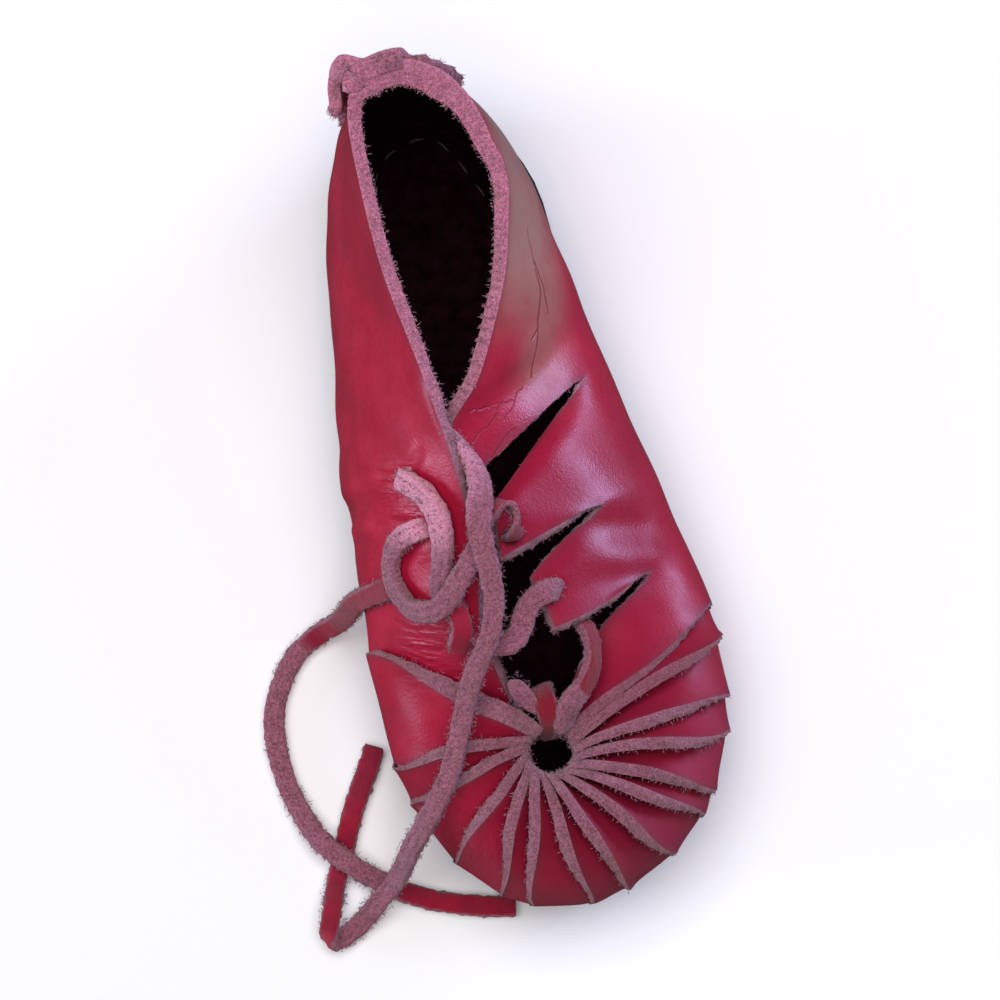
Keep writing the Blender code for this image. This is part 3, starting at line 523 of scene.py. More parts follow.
THONG_WIDTH = 4.2
THONG_THICK = 2.2
THONG_STEP = 0.7
THONG_SIDES = 20
THONG_SQUARE = 0.45
THONG_RAGGED = 0.07
THONG_END_TAPER = 0.12
THONG_WANDER = 0.06
WANDER_STEP = 0.25
Bend = namedtuple("Bend", "x y z face_x face_y face_z grain")
THONGS = {
    "lace_tuck": [
        Bend(-15.4, -4.4, 45.0, -0.2, 1.0, 0.2, -1),
        Bend(-18.0, -4.9, 47.6, -0.6, 0.6, 0.4, -1),
        Bend(-19.2, -5.6, 49.2, -0.8, 0.0, 0.6, -1),
        Bend(-17.5, -7.8, 51.5, -0.8, -0.2, 0.6, -1),
        Bend(-15.1, -11.2, 53.3, -0.7, -0.3, 0.6, -1),
        Bend(-13.6, -15.2, 53.4, -0.7, -0.3, 0.7, -1),
        Bend(-13.5, -19.8, 51.6, -0.7, -0.3, 0.7, -1),
        Bend(-14.6, -24.6, 48.1, -0.7, -0.3, 0.7, -1),
        Bend(-15.4, -28.0, 46.0, -0.6, -0.3, 0.7, -1),
        Bend(-13.5, -31.2, 46.5, 0.0, -0.3, 0.9, 1),
        Bend(-12.6, -35.0, 46.2, 0.2, -0.3, 0.9, 1),
        Bend(-14.2, -39.4, 43.8, 0.2, -0.4, 0.8, 1),
    ],
    "lace_ring": [
        Bend(-13.4, -15.4, 45.4, 0.2, 0.2, 0.9, -1),
        Bend(-16.2, -15.5, 46.8, -0.4, 0.0, 0.9, -1),
        Bend(-18.2, -15.6, 46.6, -0.8, -0.2, 0.6, -1),
        Bend(-20.2, -15.6, 44.4, -0.8, -0.2, 0.6, -1),
        Bend(-22.2, -16.4, 42.0, -0.8, -0.2, 0.6, -1),
        Bend(-23.6, -18.2, 39.9, -0.8, -0.2, 0.5, -1),
        Bend(-24.2, -20.8, 38.6, -0.8, -0.2, 0.5, -1),
        Bend(-23.9, -23.6, 38.4, -0.8, -0.2, 0.5, -1),
        Bend(-22.9, -26.4, 39.4, -0.8, -0.3, 0.5, -1),
        Bend(-21.4, -29.4, 42.2, -0.7, -0.4, 0.6, -1),
        Bend(-19.0, -31.4, 46.0, -0.6, -0.4, 0.7, -1),
        Bend(-16.5, -31.8, 48.3, -0.6, -0.4, 0.7, -1),
        Bend(-13.6, -30.0, 50.4, -0.6, -0.3, 0.7, -1),
        Bend(-11.4, -27.4, 51.8, -0.5, -0.3, 0.8, -1),
        Bend(-8.5, -24.4, 53.8, -0.4, -0.3, 0.9, -1),
        Bend(-5.6, -20.4, 54.4, 0.4, -0.6, 0.3, -1),
        Bend(-3.8, -17.2, 54.3, 0.6, -0.6, -0.6, -1),
        Bend(-1.8, -15.2, 54.2, 0.2, -0.8, -0.6, -1),
        Bend(0.3, -15.6, 53.8, -0.6, -0.8, 0.0, -1),
        Bend(1.2, -17.8, 53.2, -1.0, 0.1, 0.0, -1),
        Bend(0.3, -20.2, 52.4, -0.6, 0.8, 0.0, -1),
        Bend(-0.7, -20.9, 49.8, 0.0, 1.0, 0.0, -1),
        Bend(-1.6, -20.8, 46.6, 0.0, 1.0, 0.0, -1),
    ],
    "lace_bar": [
        Bend(6.4, -31.0, 42.6, 0.6, -0.6, 0.2, -1),
        Bend(6.0, -31.2, 45.4, 0.8, -0.4, 0.3, -1),
        Bend(4.6, -31.7, 47.4, 0.4, -0.2, 0.9, -1),
        Bend(2.1, -32.7, 47.6, 0.2, -0.2, 1.0, -1),
        Bend(-0.1, -34.6, 47.0, 0.0, 0.0, 1.0, -1),
        Bend(-1.4, -37.2, 46.4, 0.0, 0.0, 1.0, -1),
        Bend(-3.0, -39.4, 46.0, 0.0, 0.2, 1.0, -1),
        Bend(-5.2, -40.2, 46.0, -0.2, 0.2, 1.0, -1),
        Bend(-7.6, -39.2, 46.0, -0.3, 0.0, 0.9, -1),
    ],
    "lace_end_long": [
        Bend(-8.8, 1.0, 53.4, 0.9, 0.0, 0.4, -1),
        Bend(-7.0, -3.4, 54.4, 0.8, 0.0, 0.6, -1),
        Bend(-5.4, -7.4, 55.6, 0.6, 0.0, 0.8, -1),
        Bend(-4.8, -11.4, 57.2, 0.5, 0.1, 0.9, -1),
        Bend(-5.6, -16.0, 58.8, 0.1, 0.0, 1.0, -1),
        Bend(-6.4, -20.2, 58.8, -0.1, -0.3, 1.0, -1),
        Bend(-6.2, -24.1, 57.8, -0.2, -0.4, 0.9, -1),
        Bend(-5.8, -28.2, 56.0, -0.2, -0.5, 0.8, -1),
        Bend(-5.8, -32.0, 53.6, -0.2, -0.5, 0.8, -1),
        Bend(-6.6, -36.0, 51.8, -0.2, -0.4, 0.9, -1),
        Bend(-8.2, -39.8, 50.4, -0.2, -0.4, 0.9, -1),
        Bend(-11.2, -43.7, 47.0, -0.3, -0.5, 0.8, -1),
        Bend(-14.6, -49.8, 41.2, -0.3, -0.4, 0.8, -1),
        Bend(-16.8, -55.0, 39.0, -0.3, -0.3, 0.9, -1),
        Bend(-20.0, -61.7, 36.8, -0.5, -0.3, 0.8, -1),
        Bend(-24.8, -67.6, 32.0, -0.6, -0.4, 0.6, -1),
        Bend(-29.4, -71.6, 22.5, -0.7, -0.4, 0.5, -1),
        Bend(-32.2, -74.0, 13.0, -0.7, -0.3, 0.6, -1),
        Bend(-34.6, -75.8, 7.6, -0.5, -0.2, 0.8, -1),
        Bend(-37.8, -78.0, 5.0, -0.2, -0.1, 1.0, -1),
        Bend(-41.0, -80.4, 2.4, 0.0, 0.0, 1.0, -1),
        Bend(-44.6, -82.6, 1.5, 0.0, 0.0, 1.0, -1),
        Bend(-47.4, -83.8, 2.0, 0.4, 0.4, 0.9, -1),
        Bend(-48.6, -83.4, 3.4, 0.7, 0.4, 0.0, -1),
        Bend(-48.2, -81.6, 4.8, 0.2, 0.2, -0.9, -1),
        Bend(-47.0, -77.4, 4.2, 0.0, 0.0, -1.0, -1),
        Bend(-45.6, -72.4, 1.8, 0.0, 0.0, -1.0, -1),
        Bend(-43.0, -66.0, 1.5, 0.0, 0.0, -1.0, -1),
        Bend(-39.8, -58.4, 1.5, 0.0, 0.0, -1.0, -1),
        Bend(-36.4, -52.0, 1.5, 0.0, 0.0, -1.0, -1),
        Bend(-33.6, -46.5, 1.5, 0.0, 0.0, -1.0, -1),
    ],
    "lace_end_short": [
        Bend(-24.9, -23.4, 36.6, -0.8, -0.1, 0.5, 1),
        Bend(-26.0, -23.2, 35.2, -0.8, -0.2, 0.5, 1),
        Bend(-28.1, -22.9, 32.3, -0.8, -0.4, 0.5, 1),
        Bend(-31.6, -22.2, 26.2, -0.7, -0.7, 0.3, 1),
        Bend(-33.4, -21.8, 19.5, -0.6, -0.8, 0.2, 1),
        Bend(-34.8, -21.4, 12.5, -0.6, -0.8, 0.2, 1),
        Bend(-36.8, -21.2, 6.2, -0.5, -0.7, 0.4, 1),
        Bend(-40.6, -21.8, 2.8, -0.3, -0.6, 0.7, 1),
        Bend(-45.3, -24.4, 1.8, 0.0, -0.2, 1.0, 0.6),
        Bend(-49.6, -29.7, 1.5, 0.0, 0.0, 1.0, -1),
        Bend(-52.2, -35.5, 1.5, 0.0, 0.0, 1.0, -1),
        Bend(-53.0, -43.7, 1.5, 0.0, 0.0, 1.0, -1),
        Bend(-51.8, -52.2, 1.5, 0.0, 0.0, 1.0, -1),
        Bend(-49.6, -58.7, 2.4, 0.0, 0.0, 1.0, -1),
        Bend(-47.4, -63.5, 4.0, 0.0, 0.0, 1.0, -1),
        Bend(-44.6, -67.0, 4.4, 0.0, 0.0, 1.0, -1),
        Bend(-41.2, -70.4, 4.2, 0.0, 0.0, 1.0, -1),
        Bend(-36.8, -73.6, 2.0, 0.0, 0.0, 1.0, 0.6),
        Bend(-30.6, -77.4, 1.4, 0.0, 0.0, 1.0, 1),
        Bend(-23.8, -80.2, 1.4, 0.0, 0.0, 1.0, 1),
        Bend(-17.2, -82.0, 1.4, 0.0, 0.0, 1.0, 1),
        Bend(-11.2, -83.0, 1.4, 0.0, 0.0, 1.0, 1),
    ],
    "toe_thong": [
        Bend(8.0, -33.4, 35.2, 0.4, 0.5, 0.7, 1),
        Bend(9.4, -35.7, 36.8, 0.5, 0.4, 0.7, 1),
        Bend(10.9, -38.6, 39.2, 0.7, 0.2, 0.6, 1),
        Bend(11.2, -42.6, 40.2, 0.8, 0.0, 0.5, 1),
        Bend(10.2, -46.6, 40.6, 0.8, -0.1, 0.5, 1),
        Bend(7.9, -50.0, 40.6, 0.7, -0.4, 0.6, 1),
        Bend(5.4, -52.2, 40.4, 0.4, -0.5, 0.8, -0.6),
        Bend(3.8, -54.4, 38.8, 0.5, -0.4, 0.7, -1),
        Bend(3.4, -56.4, 36.2, 0.6, -0.6, 0.4, -1),
    ],
    "toe_knot": [
        Bend(0.3, -47.2, 34.4, -0.2, 0.8, 0.6, 1),
        Bend(0.4, -48.6, 37.4, -0.3, 0.6, 0.8, 1),
        Bend(0.6, -50.8, 39.6, -0.3, 0.0, 1.0, 1),
        Bend(0.8, -53.6, 39.2, -0.3, -0.4, 0.9, 1),
        Bend(0.8, -55.3, 36.9, -0.2, -0.9, 0.4, 1),
        Bend(0.7, -55.9, 33.2, 0.0, -1.0, 0.0, 1),
        Bend(0.6, -56.1, 29.5, 0.0, -1.0, 0.0, 1),
    ],
    "toe_end": [
        Bend(-1.2, -52.8, 38.4, 0.1, 0.1, 1.0, -1),
        Bend(-2.2, -51.2, 39.2, 0.1, 0.1, 1.0, -1),
        Bend(-3.2, -49.6, 39.9, 0.1, 0.1, 1.0, -1),
        Bend(-4.3, -47.9, 40.6, 0.1, 0.1, 1.0, -1),
        Bend(-5.6, -46.4, 41.2, 0.1, 0.1, 1.0, -1),
    ],
}
# Share of the full width at even steps along a thong, where it isn't even
THONG_SHAPES = {
    "toe_end": [0.3, 0.65, 0.9, 0.95, 0.85, 0.3],
    "lace_tuck": [1.0, 1.0, 1.15, 1.25, 1.1, 1.0, 1.0, 1.0, 1.0],
    "lace_end_long": [0.9, 1.0, 1.25, 1.05] + [0.95] * 16,
}
# Share of the full thickness in the same way
THONG_THINNING = {
    "toe_end": [0.6, 0.6],
    "toe_knot": [0.8, 0.65, 0.6, 0.6, 0.7],
    "lace_ring": [1.0] * 9 + [0.75, 0.6, 0.55, 0.6],
}
# Free lengths that lie or hang by themselves, and what is at the far end
CORDS = {"lace_tuck": "bare", "lace_ring": "object", "lace_end_long": "bare", "lace_end_short": "bare"}


def thong_line(bends):
    """Middle line, face and grain of a thong at even steps."""
    rows = np.array(bends)
    steps = np.linalg.norm(np.diff(rows[:, :3], axis=0), axis=1)
    stations = np.concatenate([[0], np.cumsum(steps)])
    at = np.linspace(0, stations[-1], int(stations[-1] / THONG_STEP) + 2)
    line = spline(stations, rows, at)
    way = unit(np.gradient(line[:, :3], axis=0))
    face = line[:, 3:6]
    face = unit(face - way * (face * way).sum(1, keepdims=True))
    return line[:, :3], way, face, line[:, 6]


def make_thong(name, bends):
    """Flat strip with softly rounded, ragged sides, and ends that are cut across."""
    middle, way, face, grain = thong_line(bends)
    side = np.cross(way, face)
    angle = np.linspace(0, 2 * np.pi, THONG_SIDES, endpoint=False)
    across = np.sign(np.cos(angle)) * np.abs(np.cos(angle)) ** THONG_SQUARE * THONG_WIDTH / 2
    over = np.sign(np.sin(angle)) * np.abs(np.sin(angle)) ** THONG_SQUARE * THONG_THICK / 2
    count = len(middle)
    ends = np.minimum(np.arange(count), np.arange(count)[::-1])
    taper = 1 - THONG_END_TAPER * np.exp(-ends)
    ragged = 1 + THONG_RAGGED * rng.standard_normal((count, THONG_SIDES))
    shape = THONG_SHAPES.get(name, [1.0, 1.0])
    wander = 1 + THONG_WANDER * np.sin(np.cumsum(rng.standard_normal(count)) * WANDER_STEP)
    wander = wander * np.interp(np.linspace(0, 1, count), np.linspace(0, 1, len(shape)), shape)
    thin = THONG_THINNING.get(name, [1.0, 1.0])
    thin = taper * np.interp(np.linspace(0, 1, count), np.linspace(0, 1, len(thin)), thin)
    points = (middle[:, None] + side[:, None] * (across * ragged * (taper * wander)[:, None])[..., None]
              + face[:, None] * (over * ragged * thin[:, None])[..., None])
    grained = 0.5 + 0.5 * grain[:, None] * (over / (THONG_THICK / 2))
    index = np.arange(count * THONG_SIDES).reshape(count, THONG_SIDES)
    after = np.roll(index, -1, axis=1)
    faces = np.stack([index[:-1], index[1:], after[1:], after[:-1]], -1).reshape(-1, 4).tolist()
    faces += [list(index[0]), list(index[-1][::-1])]
    piece = new_mesh(name + "_leather", points.reshape(-1, 3), faces, [THONG])
    paint(piece, "grain", grained.ravel())
    settle(piece, name)
    if name in CORDS:
        path = (middle - ORIGIN) * MM
        length = float(np.linalg.norm(np.diff(path, axis=0), axis=1).sum())


for name, bends in THONGS.items():
    make_thong(name, bends)


# Shape of the upper, on the same sizes as the solids

GAP = 0.3
LEATHER = 2.5
SOLE_TOP = 8.0
TOE_SPRING = 5.0
SPRING_START = -58.0
SPRING_RUN = 28.0
ARCH_LIFT = 1.2
ARCH_FRONT = -18.0
ARCH_BACK = 34.0
ARCH_RUN = 12.0
BOTTOM_BAND = 6.0
BOTTOM_SPINE = 62.0
HOLE_CENTRE = np.array([0.0, -60.0, 33.5])
HOLE_RADIUS = 4.6

# The girth: the widest line round the upper, seen from above, from the heel's back round the outer side
Girth = namedtuple("Girth", "name x y z inset upright reach lift")
GIRTH = [
    Girth("heel_back", -2.0, 84.0, 22, 4.0, 16, 3.0, -18),
    Girth("heel_corner_outer", 7.6, 77.0, 22, 4.0, 10, 3.0, -18),
    Girth("heel_outer", 15.3, 63.0, 21, 4.0, 10, 4.0, -18),
    Girth("quarter_outer", 20.2, 42.0, 20, 4.5, 16, 5.0, -15),
    Girth("waist_outer", 25.8, 16.0, 19, 5.0, 16, 13.0, -3),
    Girth("instep_outer", 31.2, -8.0, 18, 5.0, 15, 12.0, -2),
    Girth("ball_back_outer", 35.5, -26.0, 17, 5.5, 13, 14.0, 2),
    Girth("ball_outer", 37.2, -44.0, 17, 6.0, 12, 15.0, 3),
    Girth("toe_outer", 33.5, -64.0, 16, 6.0, 11, 14.0, 3),
    Girth("toe_corner_outer", 22.0, -79.5, 15, 6.0, 10, 12.0, 4),
    Girth("toe_tip_outer", 6.0, -87.2, 15, 6.0, 10, 11.0, 4),
    Girth("toe_tip_inner", -10.0, -85.2, 15, 6.0, 10, 11.0, 4),
    Girth("toe_corner_inner", -22.5, -73.5, 16, 6.0, 11, 12.0, 4),
    Girth("ball_front_inner", -29.5, -57.0, 17, 6.0, 12, 13.0, 3),
    Girth("ball_inner", -31.6, -38.0, 18, 5.5, 13, 12.0, 3),
    Girth("vamp_inner", -30.8, -18.0, 19, 5.0, 15, 11.0, 0),
    Girth("waist_inner", -30.8, 6.0, 20, 5.0, 16, 11.0, -3),
    Girth("quarter_inner", -28.5, 32.0, 20, 4.5, 16, 6.0, -12),
    Girth("heel_inner", -24.5, 62.0, 21, 4.0, 16, 4.0, -18),
    Girth("heel_corner_inner", -16.5, 79.0, 22, 4.0, 16, 3.0, -18),
]
ROUND = len(GIRTH)

# The free edge along the top: from the toe hole up the inner throat, round the collar, down the outer flap
Edge = namedtuple("Edge", "station x y z")
COLLAR = [
    Edge(14.35, -6.0, -50.5, 35.0),
    Edge(14.9, -9.5, -38.0, 45.0),
    Edge(15.5, -8.0, -24.0, 52.0),
    Edge(16.1, -9.4, -8.0, 58.0),
    Edge(16.7, -13.0, 12.0, 61.5),
    Edge(17.3, -16.5, 30.0, 63.5),
    Edge(18.0, -18.0, 48.0, 66.5),
    Edge(19.0, -16.8, 65.4, 69.5),
    Edge(20.0, -7.0, 70.7, 70.0),
    Edge(21.0, 3.0, 65.9, 69.0),
    Edge(22.0, 8.5, 54.0, 67.0),
    Edge(22.9, 9.5, 38.0, 63.5),
    Edge(23.3, 4.8, 22.0, 60.0),
    Edge(23.5, -1.5, 9.0, 57.3),
    Edge(23.7, -8.5, 0.5, 54.5),
    Edge(23.92, -9.0, -11.0, 51.0),
]
STRAPS = {
    "strap_1": [Edge(3.92, -2.5, -14.0, 52.0), Edge(4.95, -3.5, -25.0, 49.5)],
    "strap_2": [Edge(4.95, 2.5, -28.0, 47.5), Edge(5.65, 4.5, -38.5, 43.0)],
}
# Slits that part the straps and the toe strips.
# root: row where a slit starts. rise: how far its lip stands up.
Slit = namedtuple("Slit", "station root rise")
STRAP_SLITS = [Slit(3.92, 6, 0.0), Slit(4.95, 8, 0.5), Slit(5.65, 7, 0.5)]
TOE_STATIONS = [6.4, 6.75, 7.35, 7.7, 8.3, 8.6, 9.1, 9.7, 10.2, 10.9, 11.3, 11.95, 12.75, 13.2, 14.35]
TOE_ROOT = 2
TOE_RISE = 2.9
HOLE_START = 58.0
HOLE_END = -232.0
SLITS = STRAP_SLITS + [Slit(s, TOE_ROOT, TOE_RISE) for s in TOE_STATIONS]
PANELS = ["collar", "strap_1", "strap_2"] + ["strip_%d" % k for k in range(len(TOE_STATIONS))]

GIRTH_ROW = 3
WALL_ROWS = 10
GIRTH_LEVEL = 0.22
LEVELS = np.concatenate([np.linspace(0, GIRTH_LEVEL, GIRTH_ROW, endpoint=False),
                         np.linspace(GIRTH_LEVEL, 1, WALL_ROWS + 1)])
NORMAL_STEP = 0.004
STATION_STEP = 0.05
SLIT_GAP = 1.6
RISE_RUN = 0.55
EDGE_DIP = 0.45
OPENING_RUN = 0.08
SLIT_SHARE = 0.25
STRIP_FLATNESS = 0.8
RIM_THINNING = 0.6
THINNING_LEVEL = 0.5
SKIVED_EDGE = 0.35
SKIVED_RUN = 0.35
HEEL_LAP_LEVEL = 0.5
HEEL_LAP_EASE = 0.3
# Layers of leather at the rim round the heel, by station from the heel's back
HEEL_STATIONS = [-1.5, -1.05, -0.75, 0.5, 1.0, 1.6, 2.4, 3.2]
HEEL_LAYERS = [1.0, 1.15, 1.9, 2.05, 2.2, 1.6, 1.3, 1.1]
# A strip's raised edge starts thin at its root and grows over this run, on this part of its width
THIN_START = 0.06
THIN_RUN = 0.62
THIN_FROM = 0.5
THIN_WIDE = 0.4

# How finely the upper is laid out
ROW_SPLIT = 4
COLLAR_COLUMNS = 321
STRAP_COLUMNS = 25
STRIP_COLUMNS = 13
ROWS = [np.linspace(low, high, ROW_SPLIT, endpoint=False) for low, high in zip(LEVELS, LEVELS[1:])]
ROWS = np.concatenate(ROWS + [[1.0]])


def girth_at(station):
    return spline(range(ROUND), [row[1:] for row in GIRTH], station, ROUND)


def outward_at(station):
    along = girth_at(station + STATION_STEP)[:, :2] - girth_at(station - STATION_STEP)[:, :2]
    return unit(np.column_stack([-along[:, 1], along[:, 0], np.zeros(len(along))]))


def ground_lift(y):
    """Height of the sole's underside: a toe spring in front and a slight arch at the waist."""
    spring = TOE_SPRING * np.clip((SPRING_START - y) / SPRING_RUN, 0, 1) ** 2
    arch = ARCH_LIFT * smooth_step((y - ARCH_FRONT) / ARCH_RUN)
    return spring + arch * smooth_step((ARCH_BACK - y) / ARCH_RUN)


def edge_at(station, panel):
    """Free edge of a panel at its stations."""
    if panel == "collar":
        return spline([row.station for row in COLLAR], [row[1:] for row in COLLAR], station)
    if panel in STRAPS:
        first, last = STRAPS[panel]
        share = ((station - first.station) / (last.station - first.station))[:, None]
        return np.array(first[1:]) * (1 - share) + np.array(last[1:]) * share
    place = np.interp(station, [STRAP_SLITS[2].station] + TOE_STATIONS, np.arange(len(TOE_STATIONS) + 1))
    angle = np.radians(HOLE_START + (HOLE_END - HOLE_START) * place / len(TOE_STATIONS))
    return HOLE_CENTRE + HOLE_RADIUS * np.column_stack([np.cos(angle), np.sin(angle), np.zeros(len(angle))])


def rib(station, level, edge):
    """Points on the grain side: a round turn from the feather line to the girth, then the wall."""
    x, y, z, inset, upright, reach, lift = girth_at(station).T
    out = outward_at(station)
    girth = np.column_stack([x, y, z + ground_lift(y)])
    turn = np.clip(level / GIRTH_LEVEL, 0, 1) * np.pi / 2
    feather = girth - inset[:, None] * out
    low_turn = feather + (inset * np.sin(turn))[:, None] * out
    floor = SOLE_TOP + GAP + ground_lift(feather[:, 1])
    low_turn[:, 2] = girth[:, 2] - (girth[:, 2] - floor) * np.cos(turn)
    t = (np.clip(level - GIRTH_LEVEL, 0, 1) / (1 - GIRTH_LEVEL))[:, None]
    inward = (girth - edge) * np.array([1, 1, 0])
    low = girth + upright[:, None] * np.array([0, 0, 1])
    high = edge + reach[:, None] * unit(inward) + lift[:, None] * np.array([0, 0, 1])
    wall = (1 - t) ** 3 * girth + 3 * t * (1 - t) ** 2 * low + 3 * t * t * (1 - t) * high + t ** 3 * edge
    return np.where((level <= GIRTH_LEVEL)[:, None], low_turn, wall)


class Panel:
    """Stretch of the upper between two slits. share runs from 0 at its first slit to 1 at its last."""

    def __init__(self, name, first, last):
        self.name = name
        self.first = first
        self.last = last
        self.start = first.station - (ROUND if first.station > last.station else 0)
        self.end = last.station

    def station(self, share):
        return self.start + (self.end - self.start) * np.asarray(share, float)

    def own_edge(self, share):
        station = np.atleast_1d(self.station(share))
        return edge_at(station + (ROUND if self.name == "collar" else 0), self.name)

    def columns(self):
        if self.name == "collar":
            return np.linspace(0, 1, COLLAR_COLUMNS)
        return np.linspace(0, 1, STRAP_COLUMNS if self.name in STRAPS else STRIP_COLUMNS)


def make_panels():
    panels = [Panel(name, SLITS[k - 1], SLITS[k]) for k, name in enumerate(PANELS)]
    for k, panel in enumerate(panels):
        after = panels[(k + 1) % len(panels)]
        panel.end_corner = (panel.own_edge(1) + after.own_edge(0)) / 2
        after.start_corner = panel.end_corner
    return panels


def opened(slit, level):
    root = LEVELS[slit.root]
    return np.clip((level - root) / (1 - root), 0, 1)


def skin(panel, share, level, lift=0.0):
    """Points of a panel's grain side, lifted off it along the normal."""
    share = np.asarray(share, float)
    level = np.asarray(level, float)

    def curved(part, height):
        edge = panel.own_edge(part)
        first = ((1 - part) * (1 - opened(panel.first, height)))[:, None]
        last = (part * (1 - opened(panel.last, height)))[:, None]
        edge = edge + first * (panel.start_corner - panel.own_edge(0))
        edge = edge + last * (panel.end_corner - panel.own_edge(1))
        return rib(panel.station(part), height, edge)

    def plain(part, height):
        if not panel.name.startswith("strip"):
            return curved(part, height)
        ends = [curved(np.full_like(part, end), height) for end in (0.0, 1.0)]
        flat = (1 - part)[:, None] * ends[0] + part[:, None] * ends[1]
        return (1 - STRIP_FLATNESS) * curved(part, height) + STRIP_FLATNESS * flat

    small = NORMAL_STEP
    across = (plain(share + small, level) - plain(share - small, level)) / (2 * small)
    upward = plain(share, np.minimum(level + small, 1)) - plain(share, level - small)
    normal = unit(np.cross(upward, across))
    first_root = LEVELS[panel.first.root]
    last_root = LEVELS[panel.last.root]
    length = np.linalg.norm(across, axis=1)
    half_gap = np.minimum(SLIT_GAP, SLIT_SHARE * length) / 2
    shift = half_gap * ((1 - share) * smooth_step((level - first_root) / OPENING_RUN)
                        - share * smooth_step((level - last_root) / OPENING_RUN)) / length
    first_rise = np.clip((level - first_root) / RISE_RUN, 0, 1)
    last_rise = np.clip((level - last_root) / RISE_RUN, 0, 1)
    raised = panel.last.rise * last_rise * share ** 2
    dipped = EDGE_DIP * panel.first.rise * first_rise * (1 - share) ** 2
    return plain(share, level) + across * shift[:, None] + normal * (raised - dipped + lift)[:, None]


def layers_at(panel, share, level):
    """Thickness of the wall, as a share of one layer of leather."""
    if panel.name == "collar":
        layers = np.interp(panel.station(share), HEEL_STATIONS, HEEL_LAYERS)
        return 1 + (layers - 1) * smooth_step((level - HEEL_LAP_LEVEL) / HEEL_LAP_EASE)
    if panel.name in STRAPS:
        return np.ones_like(share)
    thinned = smooth_step((level - THINNING_LEVEL) / (1 - THINNING_LEVEL))
    skived = smooth_step((level - LEVELS[panel.first.root]) / OPENING_RUN)
    skived = skived * np.clip(1 - share / SKIVED_RUN, 0, 1)
    starting = THIN_START + (1 - THIN_START) * smooth_step((level - LEVELS[TOE_ROOT]) / THIN_RUN)
    started = 1 - (1 - starting) * smooth_step((share - THIN_FROM) / THIN_WIDE)
    return (1 - (1 - RIM_THINNING) * thinned) * (1 - (1 - SKIVED_EDGE) * skived) * started


# Creases in the leather: a line on the shoe, how deep and how wide
Crease = namedtuple("Crease", "x1 y1 z1 x2 y2 z2 deep wide")
CREASES = [
    # Fine folds across the inner vamp beside the strips
    Crease(-26.0, -31.5, 34.0, -13.0, -37.5, 43.5, 0.35, 0.9),
    Crease(-26.0, -34.0, 33.5, -14.0, -39.8, 42.5, 0.40, 1.0),
    Crease(-24.5, -36.8, 34.0, -14.5, -42.0, 41.0, 0.35, 0.9),
    Crease(-22.0, -39.5, 35.5, -15.5, -43.5, 39.5, 0.30, 0.8),
    # Pull lines from the inner holes
    Crease(-24.0, -2.0, 41.0, -19.0, -5.0, 47.0, 0.45, 1.2),
    Crease(-25.0, -8.0, 39.0, -19.5, -7.0, 45.5, 0.40, 1.2),
    Crease(-23.5, -11.5, 40.5, -17.5, -14.5, 45.5, 0.45, 1.2),
    Crease(-22.0, -20.0, 39.5, -17.0, -16.5, 45.0, 0.40, 1.1),
    Crease(-14.5, -2.0, 53.5, -18.0, -5.0, 48.0, 0.35, 1.1),
    # Flex folds on the inner waist and behind the outer slit
    Crease(-31.5, 5.0, 20.0, -28.5, 1.0, 34.0, -0.90, 5.0),
    Crease(-31.5, -3.0, 20.0, -27.5, -6.0, 36.0, 0.90, 1.9),
    Crease(-32.0, -12.0, 22.0, -27.5, -15.0, 34.0, 0.50, 2.6),
    Crease(16.5, 22.0, 36.0, 8.0, 6.0, 47.5, 0.22, 3.0),
    # Soft dents over the straps
    Crease(28.0, -18.0, 28.0, 14.0, -20.0, 42.5, 0.50, 3.2),
    Crease(30.0, -30.0, 28.0, 16.0, -32.0, 39.5, 0.50, 3.2),
]
# Where the thongs go through the leather
HOLES = [(-17.9, -5.2, 47.2), (-16.5, -15.3, 45.7), (-0.4, -20.6, 49.8), (5.2, -31.2, 45.1)]
HOLE_PULL = 0.5
HOLE_PULL_REACH = 2.4
# How far the painted shade round each hole reaches
HOLE_SHADE_REACH = 1.9
# How far a crease runs past its line's ends, how softly it ends, and the bank beside it
CREASE_OVER = 0.15
CREASE_EASE = 0.4
CREASE_BANK = 0.5
BANK_AWAY = 2


def line_distance(points, crease):
    """Distance from a crease's line, and how far along it each point lies, from 0 to 1."""
    start = np.array([crease.x1, crease.y1, crease.z1])
    way = np.array([crease.x2, crease.y2, crease.z2]) - start
    share = (points - start) @ way / (way @ way)
    return np.linalg.norm(points - start - np.clip(share, 0, 1)[:, None] * way, axis=1), share


def pressed(points):
    """How deep the creases press in at each point."""
    depth = np.zeros(len(points))
    for crease in CREASES:
        distance, share = line_distance(points, crease)
        fade = smooth_step((share + CREASE_OVER) / CREASE_EASE)
        fade = fade * smooth_step((1 + CREASE_OVER - share) / CREASE_EASE)
        away = distance / crease.wide
        depth += crease.deep * fade * (np.exp(-away ** 2) - CREASE_BANK * np.exp(-(away - BANK_AWAY) ** 2))
    for hole in HOLES:
        depth += HOLE_PULL * np.exp(-(np.linalg.norm(points - hole, axis=1) / HOLE_PULL_REACH) ** 2)
    return depth


def undulation(points):
    """Slow unevenness of soft leather."""
    x, y, z = points.T
    return (0.22 * np.sin(x / 5.3 + 1.7 * np.sin(y / 11.0)) * np.sin(z / 6.1 + 0.8)
            + 0.16 * np.sin(y / 4.7 + z / 7.3 + 2.0) * np.sin(x / 8.1 - 0.5)
            + 0.10 * np.sin((x + y) / 2.9 + z / 3.7))


def vertex_normals(points, faces):
    a, b, c, d = (points[faces[:, k]] for k in range(4))
    cross = np.cross(c - a, d - b)
    normals = np.zeros_like(points)
    for k in range(4):
        np.add.at(normals, faces[:, k], cross)
    return unit(normals)


